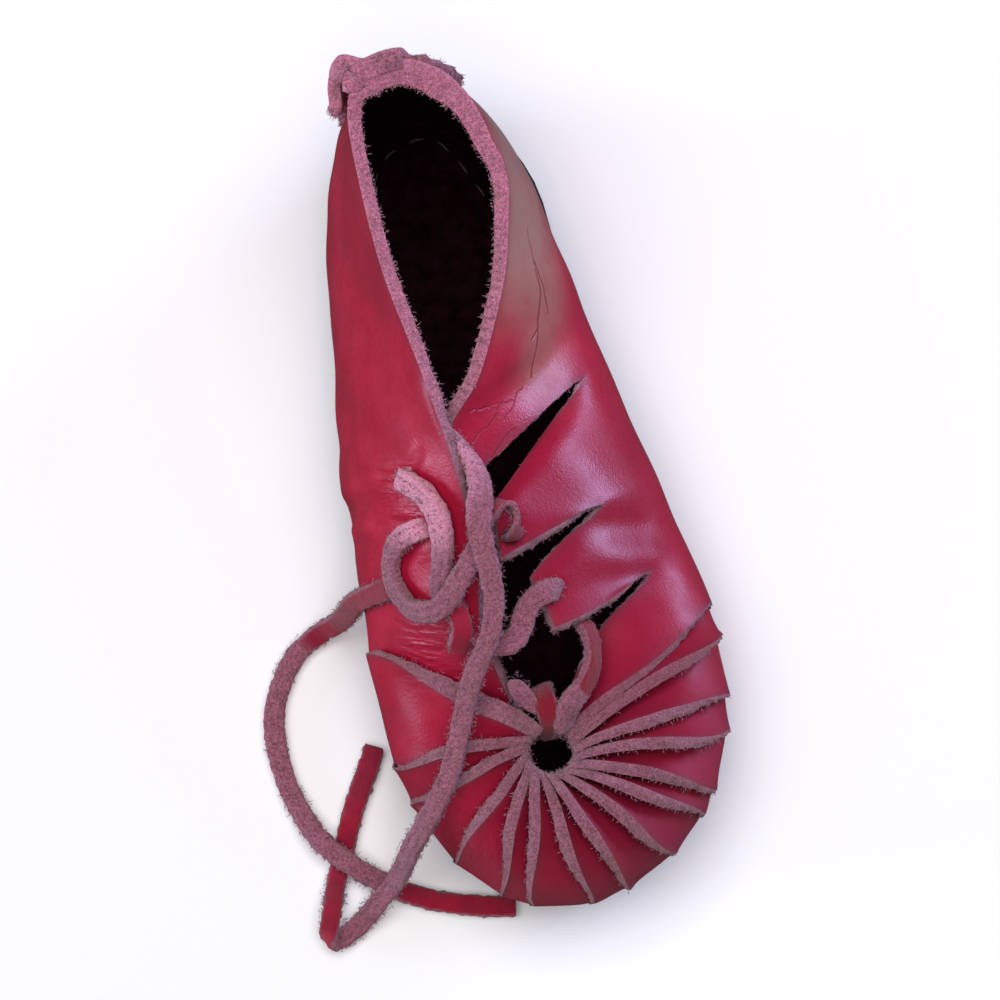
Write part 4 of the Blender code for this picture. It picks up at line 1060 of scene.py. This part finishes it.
# Share of a strip's height over which its cut grows from a closed line to open suede
CUT_FADE = 0.5
LATE_FADE = 0.9
LATE_STRIPS = ("strip_0", "strip_1")
RIM_REACH = 0.8
WALL_HEIGHT = 60.0
RIM_STEPS = 5
EVENING_PASSES = 24
RIM_BULGE = 0.28
RIM_RAGGED = 0.22
INNER_RAGGED = 0.16
# Slant of the fibres on the inner border
FIBRE_SLANT = 0.4
# Share of fibres on the collar's rim, on the edges of its slits and on the straps, where a strip has one
COLLAR_FUZZ = 3.0
SLIT_FUZZ = 0.15
STRAP_FUZZ = 0.5
# The inner border of every edge has more of them
INNER_FUZZ = 2
# How far the vamp's edge reaches in under the last strip
VAMP_UNDERLAP = 6.5
UNDERLAP_REACH = 9.0
# How far the lower edge of a strip reaches in under the raised edge before it
STRIP_UNDERLAP = 3.2
UNDERLAP_SHARE = 0.8
# How far the middle of each strip's raised edge bows round the toe, from the outer side to the inner
STRIP_BOW = [2.8, 2.8, 3.2, 3.6, 2.8, 2.2, 3.0, 2.8, 1.4, 0.8, 0.0, -0.6, -1.3, -1.6, 1.0]
# The last strip's cut widens towards the toe hole
LAST_STRIP = "strip_14"
LAST_BEVEL = 3.4
LAST_BEVEL_SHARE = 0.85
LAST_SPREAD = 2.2
SPREAD_FROM = 0.5
SPREAD_RUN = 0.4
WIDENING_FROM = 0.35
WIDENING_RUN = 0.3
# Slanting cut along the raised edge of a toe strip, and how far the edge wavers to each side
STRIP_BEVEL = 1.1
BEVEL_RUN = 0.75
STRIP_BEVEL_SHARE = 0.55
STRIP_WAVER = 0.5
WAVER_TURNS = 1.6
WAVER_SHIFT = 2.4
WAVER_END = 1.05
BOW_POWER = 1.2
# Shares of the height over which edges ease in
QUICK_EASE = 0.2
STRIP_EASE = 0.25
VAMP_EASE = 0.3
# A strap's edge towards the heel turns down and its other edge curls up
STRAP_DIP = 1.9
STRAP_CURL = 1.3
STRAP_TURN = 0.4


def strap_lift(panel, share, level):
    """How far a strap's own edges dip and curl."""
    first = smooth_step((level - LEVELS[panel.first.root]) / QUICK_EASE)
    last = smooth_step((level - LEVELS[panel.last.root]) / QUICK_EASE)
    dipped = first * np.clip(1 - share / STRAP_TURN, 0, 1) ** 2
    curled = last * np.clip(1 - (1 - share) / STRAP_TURN, 0, 1) ** 2
    return STRAP_CURL * curled - STRAP_DIP * dipped


def place_strip(panel, share, place, number):
    """Points of a toe strip: its raised edge wavers and is cut at a slant, and its other edge lies under."""
    grid = place.reshape(-1, len(ROWS), 3)
    across = grid[-1] - grid[0]
    width = np.linalg.norm(across, axis=1)
    climbed = np.clip((ROWS - LEVELS[TOE_ROOT]) / (1 - LEVELS[TOE_ROOT]), 0, 1)
    waver = STRIP_WAVER * np.sin(2 * np.pi * WAVER_TURNS * ROWS + WAVER_SHIFT * number)
    waver = waver * smooth_step((ROWS - LEVELS[TOE_ROOT]) / STRIP_EASE)
    waver = waver * smooth_step((WAVER_END - ROWS) / VAMP_EASE)
    waver = waver + STRIP_BOW[number - len(STRAPS) - 1] * np.sin(np.pi * climbed) ** BOW_POWER
    bevel = np.full(len(ROWS), STRIP_BEVEL)
    widest = STRIP_BEVEL_SHARE * width
    if panel.name == LAST_STRIP:
        waver = waver + LAST_SPREAD * smooth_step((climbed - SPREAD_FROM) / SPREAD_RUN)
        widening = smooth_step((climbed - WIDENING_FROM) / WIDENING_RUN)
        bevel = STRIP_BEVEL + (LAST_BEVEL - STRIP_BEVEL) * widening
        widest = LAST_BEVEL_SHARE * width + LAST_SPREAD * climbed
    bevel = np.minimum(bevel, widest) * np.clip(climbed / BEVEL_RUN, 0, 1)
    under = np.minimum(STRIP_UNDERLAP, UNDERLAP_SHARE * width)
    under = under * smooth_step((ROWS - LEVELS[panel.first.root]) / STRIP_EASE)
    waver, bevel, under = (np.tile(v, len(grid))[:, None] for v in (waver, bevel, under))
    sideways = np.tile(unit(across), (len(grid), 1))
    raised = sideways * share[:, None]
    lowered = sideways * ((1 - share) ** 3)[:, None]
    place = place + raised * waver - lowered * under
    return place, place - raised * bevel


def place_panel(panel, share, level, number):
    """Points of a panel on its flesh side's outline, and on its grain side, which a slanting cut narrows."""
    lift = strap_lift(panel, share, level) if panel.name in STRAPS else np.zeros_like(share)
    place = skin(panel, share, level, lift)
    if panel.name.startswith("strip"):
        return place_strip(panel, share, place, number)
    if panel.name == "collar":
        grid = place.reshape(-1, len(ROWS), 3)
        back = unit(grid[0] - grid[1])
        away = np.linalg.norm(grid - grid[:1], axis=2)
        slide = VAMP_UNDERLAP * np.exp(-(away / UNDERLAP_REACH) ** 2)
        slide = slide * smooth_step((ROWS - LEVELS[TOE_ROOT]) / VAMP_EASE)
        place = (grid + back * slide[..., None]).reshape(-1, 3)
    return place, place


ROOT_ROWS = [slit.root * ROW_SPLIT for slit in SLITS]
Hide = namedtuple("Hide", "points grain thick near_rim grids")


def lay_hide(panels):
    """Points of all the panels, shared below the slits, and each panel's grid of point numbers."""
    points, grain, thick, near_rim = [], [], [], []
    grids = []
    total = 0
    for number, panel in enumerate(panels):
        shares = panel.columns()
        share, level = (v.ravel() for v in np.meshgrid(shares, ROWS, indexing="ij"))
        place, face = place_panel(panel, share, level, number)
        index = np.full((len(shares), len(ROWS)), -1)
        if number:
            root = ROOT_ROWS[number - 1]
            index[0, :root + 1] = grids[-1][-1, :root + 1]
        if number == len(panels) - 1:
            root = ROOT_ROWS[number]
            index[-1, :root + 1] = grids[0][0, :root + 1]
        fresh = index.ravel() < 0
        index.ravel()[fresh] = total + np.arange(fresh.sum())
        total += fresh.sum()
        wide = np.linalg.norm(np.diff(place.reshape(len(shares), len(ROWS), 3), axis=0), axis=2).sum(0)
        wide = np.tile(wide, len(shares))
        tall = WALL_HEIGHT * (1 - level)
        left = np.where(opened(panel.first, level) > 0, share * wide, tall)
        right = np.where(opened(panel.last, level) > 0, (1 - share) * wide, tall)
        points.append(place[fresh])
        grain.append(face[fresh])
        thick.append(layers_at(panel, share, level)[fresh])
        near_rim.append(np.exp(-np.min([tall, left, right], axis=0) / RIM_REACH)[fresh])
        grids.append(index)
    return Hide(*(np.concatenate(column) for column in (points, grain, thick, near_rim)), grids)


def trace_edge(panels, grids, outer):
    """The cut edge round every panel without a break: point numbers, ways out, fibres and how open it is."""
    links = []
    for number, grid in enumerate(grids):
        first, last = ROOT_ROWS[number - 1], ROOT_ROWS[number]
        ribbon = panels[number].name.startswith("strip")
        fade = LATE_FADE if panels[number].name in LATE_STRIPS else CUT_FADE
        climbed = np.clip((ROWS - LEVELS[TOE_ROOT]) / fade, 0, 1) if ribbon else np.ones(len(ROWS))
        upward = outer[grid[0, first + 1]] - outer[grid[0, first]]
        links.append((grid[0, first], upward, SLIT_FUZZ, climbed[first]))
        for row in range(first + 1, len(ROWS)):
            links.append((grid[0, row], outer[grid[0, row]] - outer[grid[1, row]], SLIT_FUZZ, climbed[row]))
        fuzzy = COLLAR_FUZZ if number == 0 else 1.0
        for column in range(1, len(grid)):
            links.append((grid[column, -1], outer[grid[column, -1]] - outer[grid[column, -2]], fuzzy, 1.0))
        for row in range(len(ROWS) - 2, last, -1):
            fuzzy = climbed[row] ** 2 if ribbon else STRAP_FUZZ if number else SLIT_FUZZ
            links.append((grid[-1, row], outer[grid[-1, row]] - outer[grid[-2, row]], fuzzy, climbed[row]))
    chain, away, fuzzy, open_cut = (np.array(column) for column in zip(*links))
    return chain, unit(away), fuzzy, open_cut


def cut_edge(outer, inner, chain, away):
    """Points of the rounded, ragged edge between the two sides of a hide, and the faces that join them."""
    links = len(chain)
    rows = [chain]
    places = []
    for step in range(1, RIM_STEPS):
        t = step / RIM_STEPS
        bulge = RIM_BULGE * np.sin(np.pi * t) + RIM_RAGGED * rng.standard_normal(links)
        places.append(outer[chain] * (1 - t) + inner[chain] * t + away * bulge[:, None])
        rows.append(2 * len(outer) + (step - 1) * links + np.arange(links))
    rows.append(chain + len(outer))
    faces = [np.stack([a, b, np.roll(b, -1), np.roll(a, -1)], -1) for a, b in zip(rows, rows[1:])]
    return np.concatenate(places), np.concatenate(faces)


def lay_bottom(source, ring, side, base, count):
    """Leather bottom on one side of the hide: a band inside the feather line, and rungs across."""
    feather = source[ring]
    middle = np.column_stack([np.full(len(ring), feather[:, 0].mean()),
                              np.clip(feather[:, 1], -BOTTOM_SPINE, BOTTOM_SPINE), feather[:, 2]])
    place = feather + BOTTOM_BAND * unit((middle - feather) * np.array([1, 1, 0]))
    place[:, 2] = SOLE_TOP + GAP + ground_lift(place[:, 1]) + side * LEATHER
    ids = base + side * len(ring) + np.arange(len(ring))
    order = np.roll(ids, -int(np.argmax(place[:, 1])))
    band = np.stack([ring + side * count, np.roll(ring, -1) + side * count, np.roll(ids, -1), ids], -1)
    rungs = np.array([[order[k], order[k + 1], order[-k - 1], order[-k]] for k in range(1, len(ring) // 2)])
    first = [[order[0], order[1], order[-1], order[-1]]]
    faces = np.concatenate([band, rungs, first])
    return place, faces if side == 0 else faces[:, ::-1]


def make_upper(panels):
    """The hide: grain side, flesh side, the cut edge that joins them all round, and the leather bottom."""
    hide = lay_hide(panels)
    points, grids, count = hide.points, hide.grids, len(hide.points)
    quads = np.concatenate([np.stack([g[:-1, :-1], g[:-1, 1:], g[1:, 1:], g[1:, :-1]], -1).reshape(-1, 4)
                            for g in grids])
    normals = vertex_normals(points, quads)
    uneven = (undulation(points) - pressed(points)) * (1 - hide.near_rim)
    outer = hide.grain + normals * uneven[:, None]
    even = normals[grids[0]]
    for _ in range(EVENING_PASSES):
        even[1:-1] = unit(even[:-2] + 2 * even[1:-1] + even[2:])
    inward = normals.copy()
    inward[grids[0]] = even
    inner = points - inward * (hide.thick * LEATHER)[:, None]

    chain, away, fuzzy, open_cut = trace_edge(panels, grids, outer)
    inner[chain] += away * (INNER_RAGGED * rng.standard_normal(len(chain)))[:, None]
    rim, rim_quads = cut_edge(outer, inner, chain, away)
    ring = np.concatenate([g[:-1, 0] for g in grids])
    base = 2 * count + len(rim)
    under, under_faces = lay_bottom(outer, ring, 0, base, count)
    floor, floor_faces = lay_bottom(inner, ring, 1, base, count)

    all_points = np.concatenate([outer, inner, rim, under, floor])
    groups = [(quads, 0), (quads[:, ::-1] + count, 1), (rim_quads, 2), (under_faces, 1), (floor_faces, 1)]
    faces = [list(dict.fromkeys(face)) for group, _ in groups for face in group.tolist()]
    slots = np.concatenate([np.full(len(group), slot) for group, slot in groups])
    piece = new_mesh("upper_leather", all_points, faces, [GRAIN, INSIDE, EDGE], slots)
    # Painted shade round the holes where the thongs go through
    reaches = [np.linalg.norm(points - hole, axis=1) / HOLE_SHADE_REACH for hole in HOLES]
    hole_shade = np.exp(-np.min(reaches, axis=0) ** 4)
    for name, values in (("rim", hide.near_rim), ("hole", hole_shade)):
        paint(piece, name, np.concatenate([values, np.zeros(len(all_points) - count)]))
    # How open the cut is; where it is closed the edge is painted deep red, partly as shade
    cut = np.ones(len(all_points))
    cut[chain] = open_cut
    cut[chain + count] = open_cut
    cut[2 * count:base] = np.tile(open_cut, RIM_STEPS - 1)
    paint(piece, "cut", cut)
    settle(piece, "upper")

    gaps = fuzzy * np.linalg.norm(outer[np.roll(chain, -1)] - outer[chain], axis=1)
    within = unit(inner[chain] - outer[chain]) + FIBRE_SLANT * away
    fuzz = (np.concatenate([rim, inner[chain]]), np.concatenate([away] * (RIM_STEPS - 1) + [within]),
            np.concatenate([gaps] * (RIM_STEPS - 1) + [INNER_FUZZ * gaps]))
    return fuzz, inner[ring], floor


panels = make_panels()
upper_rim, inner_ring, inner_floor = make_upper(panels)


# Flap folded up over the back of the heel

FLAP_FOOT = 0.1
FLAP_FOOT_INNER = -1.1
FLAP_FOOT_OUTER = 0.66
FLAP_TOP_INNER = -1.15
FLAP_TOP_OUTER = 0.55
FLAP_ABOVE_RIM = 1.0
FLAP_TAB = 0.72
FLAP_TAB_EASE = 0.18
FLAP_TOP_EASE = 0.2
FLAP_LIP_DROP = 2.8
FLAP_LEAN = 1.8
FLAP_SUNK = 0.5
# The loose shoulder on the inner side: how far it stands off, where it begins and where it falls again
FLAP_SHOULDER = 3.6
SHOULDER_FROM = 0.15
SHOULDER_EASE = 0.3
SHOULDER_FALL = 0.5
SHOULDER_FALL_FROM = 0.6
SHOULDER_FALL_EASE = 0.4
SHOULDER_FOOT = 0.45
SHOULDER_RUN = 0.4
FLAP_FLARE_OUTER = 0.8
FLAP_FLARE_EASE = 0.3
FLAP_EVENNESS = 0.7
# The flap's side edges waver this far, so many radians from foot to top
FLAP_WAVER = 0.35
FLAP_WAVER_TURN = 23.0
FLAP_BORDER = 0.97
FLAP_RIM_FADE = 30.0
FLAP_FUZZ = 5.0
FLAP_COLUMNS = 57
FLAP_ROWS = 61


def flap_lift(side, rise):
    """How far the flap's loose shoulder stands off the heel."""
    begun = smooth_step((-side - SHOULDER_FROM) / SHOULDER_EASE)
    falling = 1 - SHOULDER_FALL * smooth_step((-side - SHOULDER_FALL_FROM) / SHOULDER_FALL_EASE)
    return FLAP_SHOULDER * begun * falling * smooth_step((rise - SHOULDER_FOOT) / SHOULDER_RUN)


def make_heel_flap(panels):
    """Doubled hide at the back of the heel, with a tab above the rim and a loose inner shoulder."""
    collar = panels[0]
    shares = np.linspace(0, 1, FLAP_COLUMNS)
    share, rise = (v.ravel() for v in np.meshgrid(shares, np.linspace(0, 1, FLAP_ROWS), indexing="ij"))
    first = FLAP_FOOT_INNER + (FLAP_TOP_INNER - FLAP_FOOT_INNER) * rise
    last = FLAP_FOOT_OUTER + (FLAP_TOP_OUTER - FLAP_FOOT_OUTER) * rise
    station = first + (last - first) * share
    level = FLAP_FOOT + (1 - FLAP_FOOT) * rise
    side = 2 * share - 1
    top = smooth_step((rise - 1 + FLAP_TOP_EASE) / FLAP_TOP_EASE)
    loose = flap_lift(side, rise)
    tab = smooth_step((FLAP_TAB - np.abs(side)) / FLAP_TAB_EASE)
    flare = FLAP_FLARE_OUTER * smooth_step((side - 1 + FLAP_FLARE_EASE) / FLAP_FLARE_EASE)
    lift = LEATHER - FLAP_SUNK + loose + flare
    points = skin(collar, (station - collar.start) / (collar.end - collar.start), level, lift)
    points[:, 2] += (FLAP_ABOVE_RIM * tab - FLAP_LIP_DROP * (1 - tab)) * top
    points[:, 0] += FLAP_WAVER * np.sin(rise * FLAP_WAVER_TURN + 1) * (np.abs(side) > FLAP_BORDER)
    index = np.arange(len(points)).reshape(FLAP_COLUMNS, FLAP_ROWS)
    quads = np.stack([index[:-1, :-1], index[:-1, 1:], index[1:, 1:], index[1:, :-1]], -1).reshape(-1, 4)
    normals = vertex_normals(points, quads)
    outer = points + normals * (FLAP_EVENNESS * undulation(points))[:, None]
    inner = points - normals * (LEATHER + (FLAP_LEAN + loose) * tab * top)[:, None]
    chain = np.concatenate([index[0, :-1], index[:-1, -1], index[-1, :0:-1], index[:0:-1, 0]])
    before = np.concatenate([index[1, :-1], index[:-1, -2], index[-2, :0:-1], index[:0:-1, 1]])
    away = unit(outer[chain] - outer[before])
    rim, edge = cut_edge(outer, inner, chain, away)
    faces = np.concatenate([quads, quads[:, ::-1] + len(points), edge])
    slots = np.repeat([0, 1], [len(quads), len(quads) + len(edge)])
    piece = new_mesh("heel_flap_leather", np.concatenate([outer, inner, rim]), faces, [GRAIN, EDGE], slots)
    close = np.exp(-np.min([share, 1 - share, rise, 1 - rise], axis=0) * FLAP_RIM_FADE)
    paint(piece, "rim", np.concatenate([close, np.zeros(len(points) + len(rim))]))
    paint(piece, "hole", np.zeros(len(piece.data.vertices)))
    paint(piece, "cut", np.ones(len(piece.data.vertices)))
    settle(piece, "heel_flap")
    return rim, np.tile(away, (RIM_STEPS - 1, 1)), np.full(len(rim), FLAP_FUZZ)


flap_rim = make_heel_flap(panels)


# Loose fibres along the cut edges and the thongs

FIBRE_SHORT = 0.3
FIBRE_LONGER = 0.9
FIBRE_RADIUS = 0.085
FIBRE_SUNK = 0.1
# How far a fibre's root, its way and its tip stray
ROOT_STRAY = 0.25
WAY_STRAY = 0.75
TIP_STRAY = 0.8
# Rings of a fibre: share of its length and of its radius. It has three sides and a tip.
FIBRE_RINGS = ((0.0, 1.0), (0.5, 0.8))
FIBRE_ANGLES = (0, 2.094, 4.189)
FIBRE_FACES = ([0, 1, 4, 3], [1, 2, 5, 4], [2, 0, 3, 5], [3, 4, 6], [4, 5, 6], [5, 3, 6], [2, 1, 0])
FIBRE_POINTS = 7
UPPER_FIBRES = 15000
THONG_FIBRES = 8000


def make_fuzz(name, rims, count):
    """Short tapering fibres that stand out of a cut edge."""
    places, ways, gaps = (np.concatenate(column) for column in zip(*rims))
    pick = rng.choice(len(places), count, p=gaps / gaps.sum())
    root = places[pick] + ROOT_STRAY * rng.standard_normal((count, 3))
    way = unit(ways[pick] + WAY_STRAY * rng.standard_normal((count, 3)))
    bent = unit(way + TIP_STRAY * rng.standard_normal((count, 3)))
    length = FIBRE_SHORT + FIBRE_LONGER * rng.random((count, 1)) ** 3
    side = unit(np.cross(way, rng.standard_normal((count, 3))))
    other = np.cross(way, side)
    points = []
    for along, radius in FIBRE_RINGS:
        centre = root - FIBRE_SUNK * way + way * length * along
        for angle in FIBRE_ANGLES:
            spoke = side * math.cos(angle) + other * math.sin(angle)
            points.append(centre + FIBRE_RADIUS * radius * spoke)
    points.append(root + (way + bent) * length / 2)
    points = np.stack(points, 1)
    base = np.arange(count)[:, None] * FIBRE_POINTS
    faces = [face for shape in FIBRE_FACES for face in (base + shape).tolist()]
    piece = new_mesh(name, points.reshape(-1, 3), faces, [FUZZ])
    paint(piece, "cut", np.ones(len(piece.data.vertices)))
    settle(piece)


make_fuzz("upper_fuzz", [upper_rim, flap_rim], UPPER_FIBRES)


FUZZ_ACROSS = 0.2
FUZZ_CLEAR = 1.5


def thong_fuzz():
    """Fibres along the sides and the flesh face of the thongs, clear of the floor."""
    places, ways = [], []
    for bends in THONGS.values():
        middle, way, face, grain = thong_line(bends)
        side = np.cross(way, face)
        for turn in (-1, 1):
            places.append(middle + turn * side * THONG_WIDTH / 2)
            ways.append(turn * side)
            flesh = face * np.where(grain < 0, 1, -1)[:, None]
            places.append(middle + turn * side * THONG_WIDTH * FUZZ_ACROSS + flesh * THONG_THICK / 2)
            ways.append(flesh)
    places, ways = np.concatenate(places), np.concatenate(ways)
    clear = places[:, 2] > FUZZ_CLEAR
    make_fuzz("thong_fuzz", [(places[clear], ways[clear], np.ones(clear.sum()))], THONG_FIBRES)


thong_fuzz()


# Outsole: the solid's own shape with its corners eased

EASED_CORNER = 0.45
MERGED = 1e-5
FLAT_ANGLE = math.radians(1.5)
CORNER_ANGLE = math.radians(40)


def make_outsole():
    """Copy of the solid, merged, with its corners eased."""
    deselect_all()
    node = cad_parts["outsole"]
    bpy.context.view_layer.objects.active = node
    node.select_set(True)
    bpy.ops.object.duplicate()
    sole = bpy.context.view_layer.objects.active
    sole.name = "outsole_rubber"
    for key in [k for k in sole.keys() if k.startswith("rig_")]:
        del sole[key]
    bpy.ops.object.mode_set(mode="EDIT")
    bpy.ops.mesh.select_all(action="SELECT")
    bpy.ops.mesh.remove_doubles(threshold=MERGED)
    bpy.ops.mesh.dissolve_limited(angle_limit=FLAT_ANGLE)
    bpy.ops.object.mode_set(mode="OBJECT")
    eased = sole.modifiers.new("eased", "BEVEL")
    eased.width = EASED_CORNER * MM
    eased.segments = 2
    eased.angle_limit = CORNER_ANGLE
    bpy.ops.object.modifier_apply(modifier="eased")
    bpy.ops.object.shade_smooth_by_angle(angle=CORNER_ANGLE)
    sole.data.materials.clear()
    sole.data.materials.append(RUBBER)
    settle(sole, "outsole")


make_outsole()


# Stitches round the inside of the bottom

STITCH_PITCH = 6.2
STITCH_LENGTH = 3.2
STITCH_RADIUS = 0.22
STITCH_ENDS = 0.45
STITCH_START = 1.0
STITCH_INSET = 0.55
STITCH_LIFT = 0.2
STITCH_ARCH = 0.35
STITCH_RINGS = 5
STITCH_SIDES = 6


def make_stitches():
    """Stitches as short arched tubes along the foot of the wall."""
    loop = inner_ring * (1 - STITCH_INSET) + inner_floor * STITCH_INSET
    loop[:, 2] = np.maximum(inner_floor[:, 2], (inner_ring[:, 2] + inner_floor[:, 2]) / 2) + STITCH_LIFT
    loop = np.concatenate([loop, loop[:1]])
    run = np.concatenate([[0], np.cumsum(np.linalg.norm(np.diff(loop, axis=0), axis=1))])
    arch = STITCH_ARCH * np.sin(np.linspace(0, np.pi, STITCH_RINGS))
    radii = [STITCH_RADIUS * (STITCH_ENDS if k in (0, STITCH_RINGS - 1) else 1) for k in range(STITCH_RINGS)]
    around = np.arange(STITCH_SIDES) * 2 * np.pi / STITCH_SIDES
    points, faces = [], []
    for start in np.arange(STITCH_START, run[-1] - STITCH_LENGTH, STITCH_PITCH):
        at = start + np.linspace(0, STITCH_LENGTH, STITCH_RINGS)
        line = np.column_stack([np.interp(at, run, loop[:, k]) for k in range(3)])
        line[:, 2] += arch
        way = unit(line[-1] - line[0])
        side = unit(np.cross(way, [0, 0, 1]))
        up = np.cross(side, way)
        first = len(points)
        for place, radius in zip(line, radii):
            points += [place + radius * (side * math.cos(angle) + up * math.sin(angle)) for angle in around]
        index = first + np.arange(STITCH_RINGS * STITCH_SIDES).reshape(STITCH_RINGS, STITCH_SIDES)
        after = np.roll(index, -1, axis=1)
        faces += np.stack([index[:-1], after[:-1], after[1:], index[1:]], -1).reshape(-1, 4).tolist()
        faces += [index[0, ::-1].tolist(), index[-1].tolist()]
    settle(new_mesh("inner_stitches", points, faces, [THREAD]))


make_stitches()


# Floor and light

FLOOR_SIZE = 6.0
FLOOR_DROP = 0.0002
ROOM_COLOUR = (0.95, 0.97, 1.0, 1)
ROOM_STRENGTH = 0.06
Lamp = namedtuple("Lamp", "name place aim size power colour mirrored")
LAMPS = [
    Lamp("right_window", (0.88, 0.36, 0.24), (0, 0, 0.04), (0.55, 0.20), 7.0, (0.55, 0.55, 1.0), True),
    Lamp("left_window", (-0.98, 0.10, 0.22), (0, 0, 0.04), (0.42, 0.24), 4.4, (0.66, 0.71, 1.0), True),
    Lamp("overhead", (-0.1, -0.1, 1.4), (0, 0, 0), (1.5, 1.5), 24.5, (0.985, 0.98, 1.0), False),
]


def make_floor():
    """Plain floor a hair below the sole."""
    deselect_all()
    bpy.ops.mesh.primitive_plane_add(size=FLOOR_SIZE, location=(0, 0, -FLOOR_DROP))
    floor = bpy.context.active_object
    floor.name = "floor"
    bpy.ops.object.mode_set(mode="EDIT")
    bpy.ops.mesh.subdivide(number_cuts=3)
    bpy.ops.object.mode_set(mode="OBJECT")
    floor.data.materials.append(floor_paint())
    floor.visible_glossy = False


def add_light(lamp):
    """Soft rectangular lamp."""
    data = bpy.data.lights.new(lamp.name, "AREA")
    data.shape = "RECTANGLE"
    data.size, data.size_y = lamp.size
    data.energy = lamp.power
    data.color = lamp.colour
    light = bpy.data.objects.new(lamp.name, data)
    light.location = lamp.place
    light.rotation_euler = (Vector(lamp.aim) - Vector(lamp.place)).to_track_quat("-Z", "Y").to_euler()
    light.visible_glossy = lamp.mirrored
    bpy.context.scene.collection.objects.link(light)


def light_scene():
    """Two windows low at the sides, a wide lamp overhead and a faint room."""
    world = bpy.data.worlds.new("pale_room")
    world.use_nodes = True
    world.node_tree.nodes["Background"].inputs["Color"].default_value = ROOM_COLOUR
    world.node_tree.nodes["Background"].inputs["Strength"].default_value = ROOM_STRENGTH
    bpy.context.scene.world = world
    for lamp in LAMPS:
        add_light(lamp)


make_floor()
light_scene()
bpy.context.scene.view_settings.view_transform = "Standard"
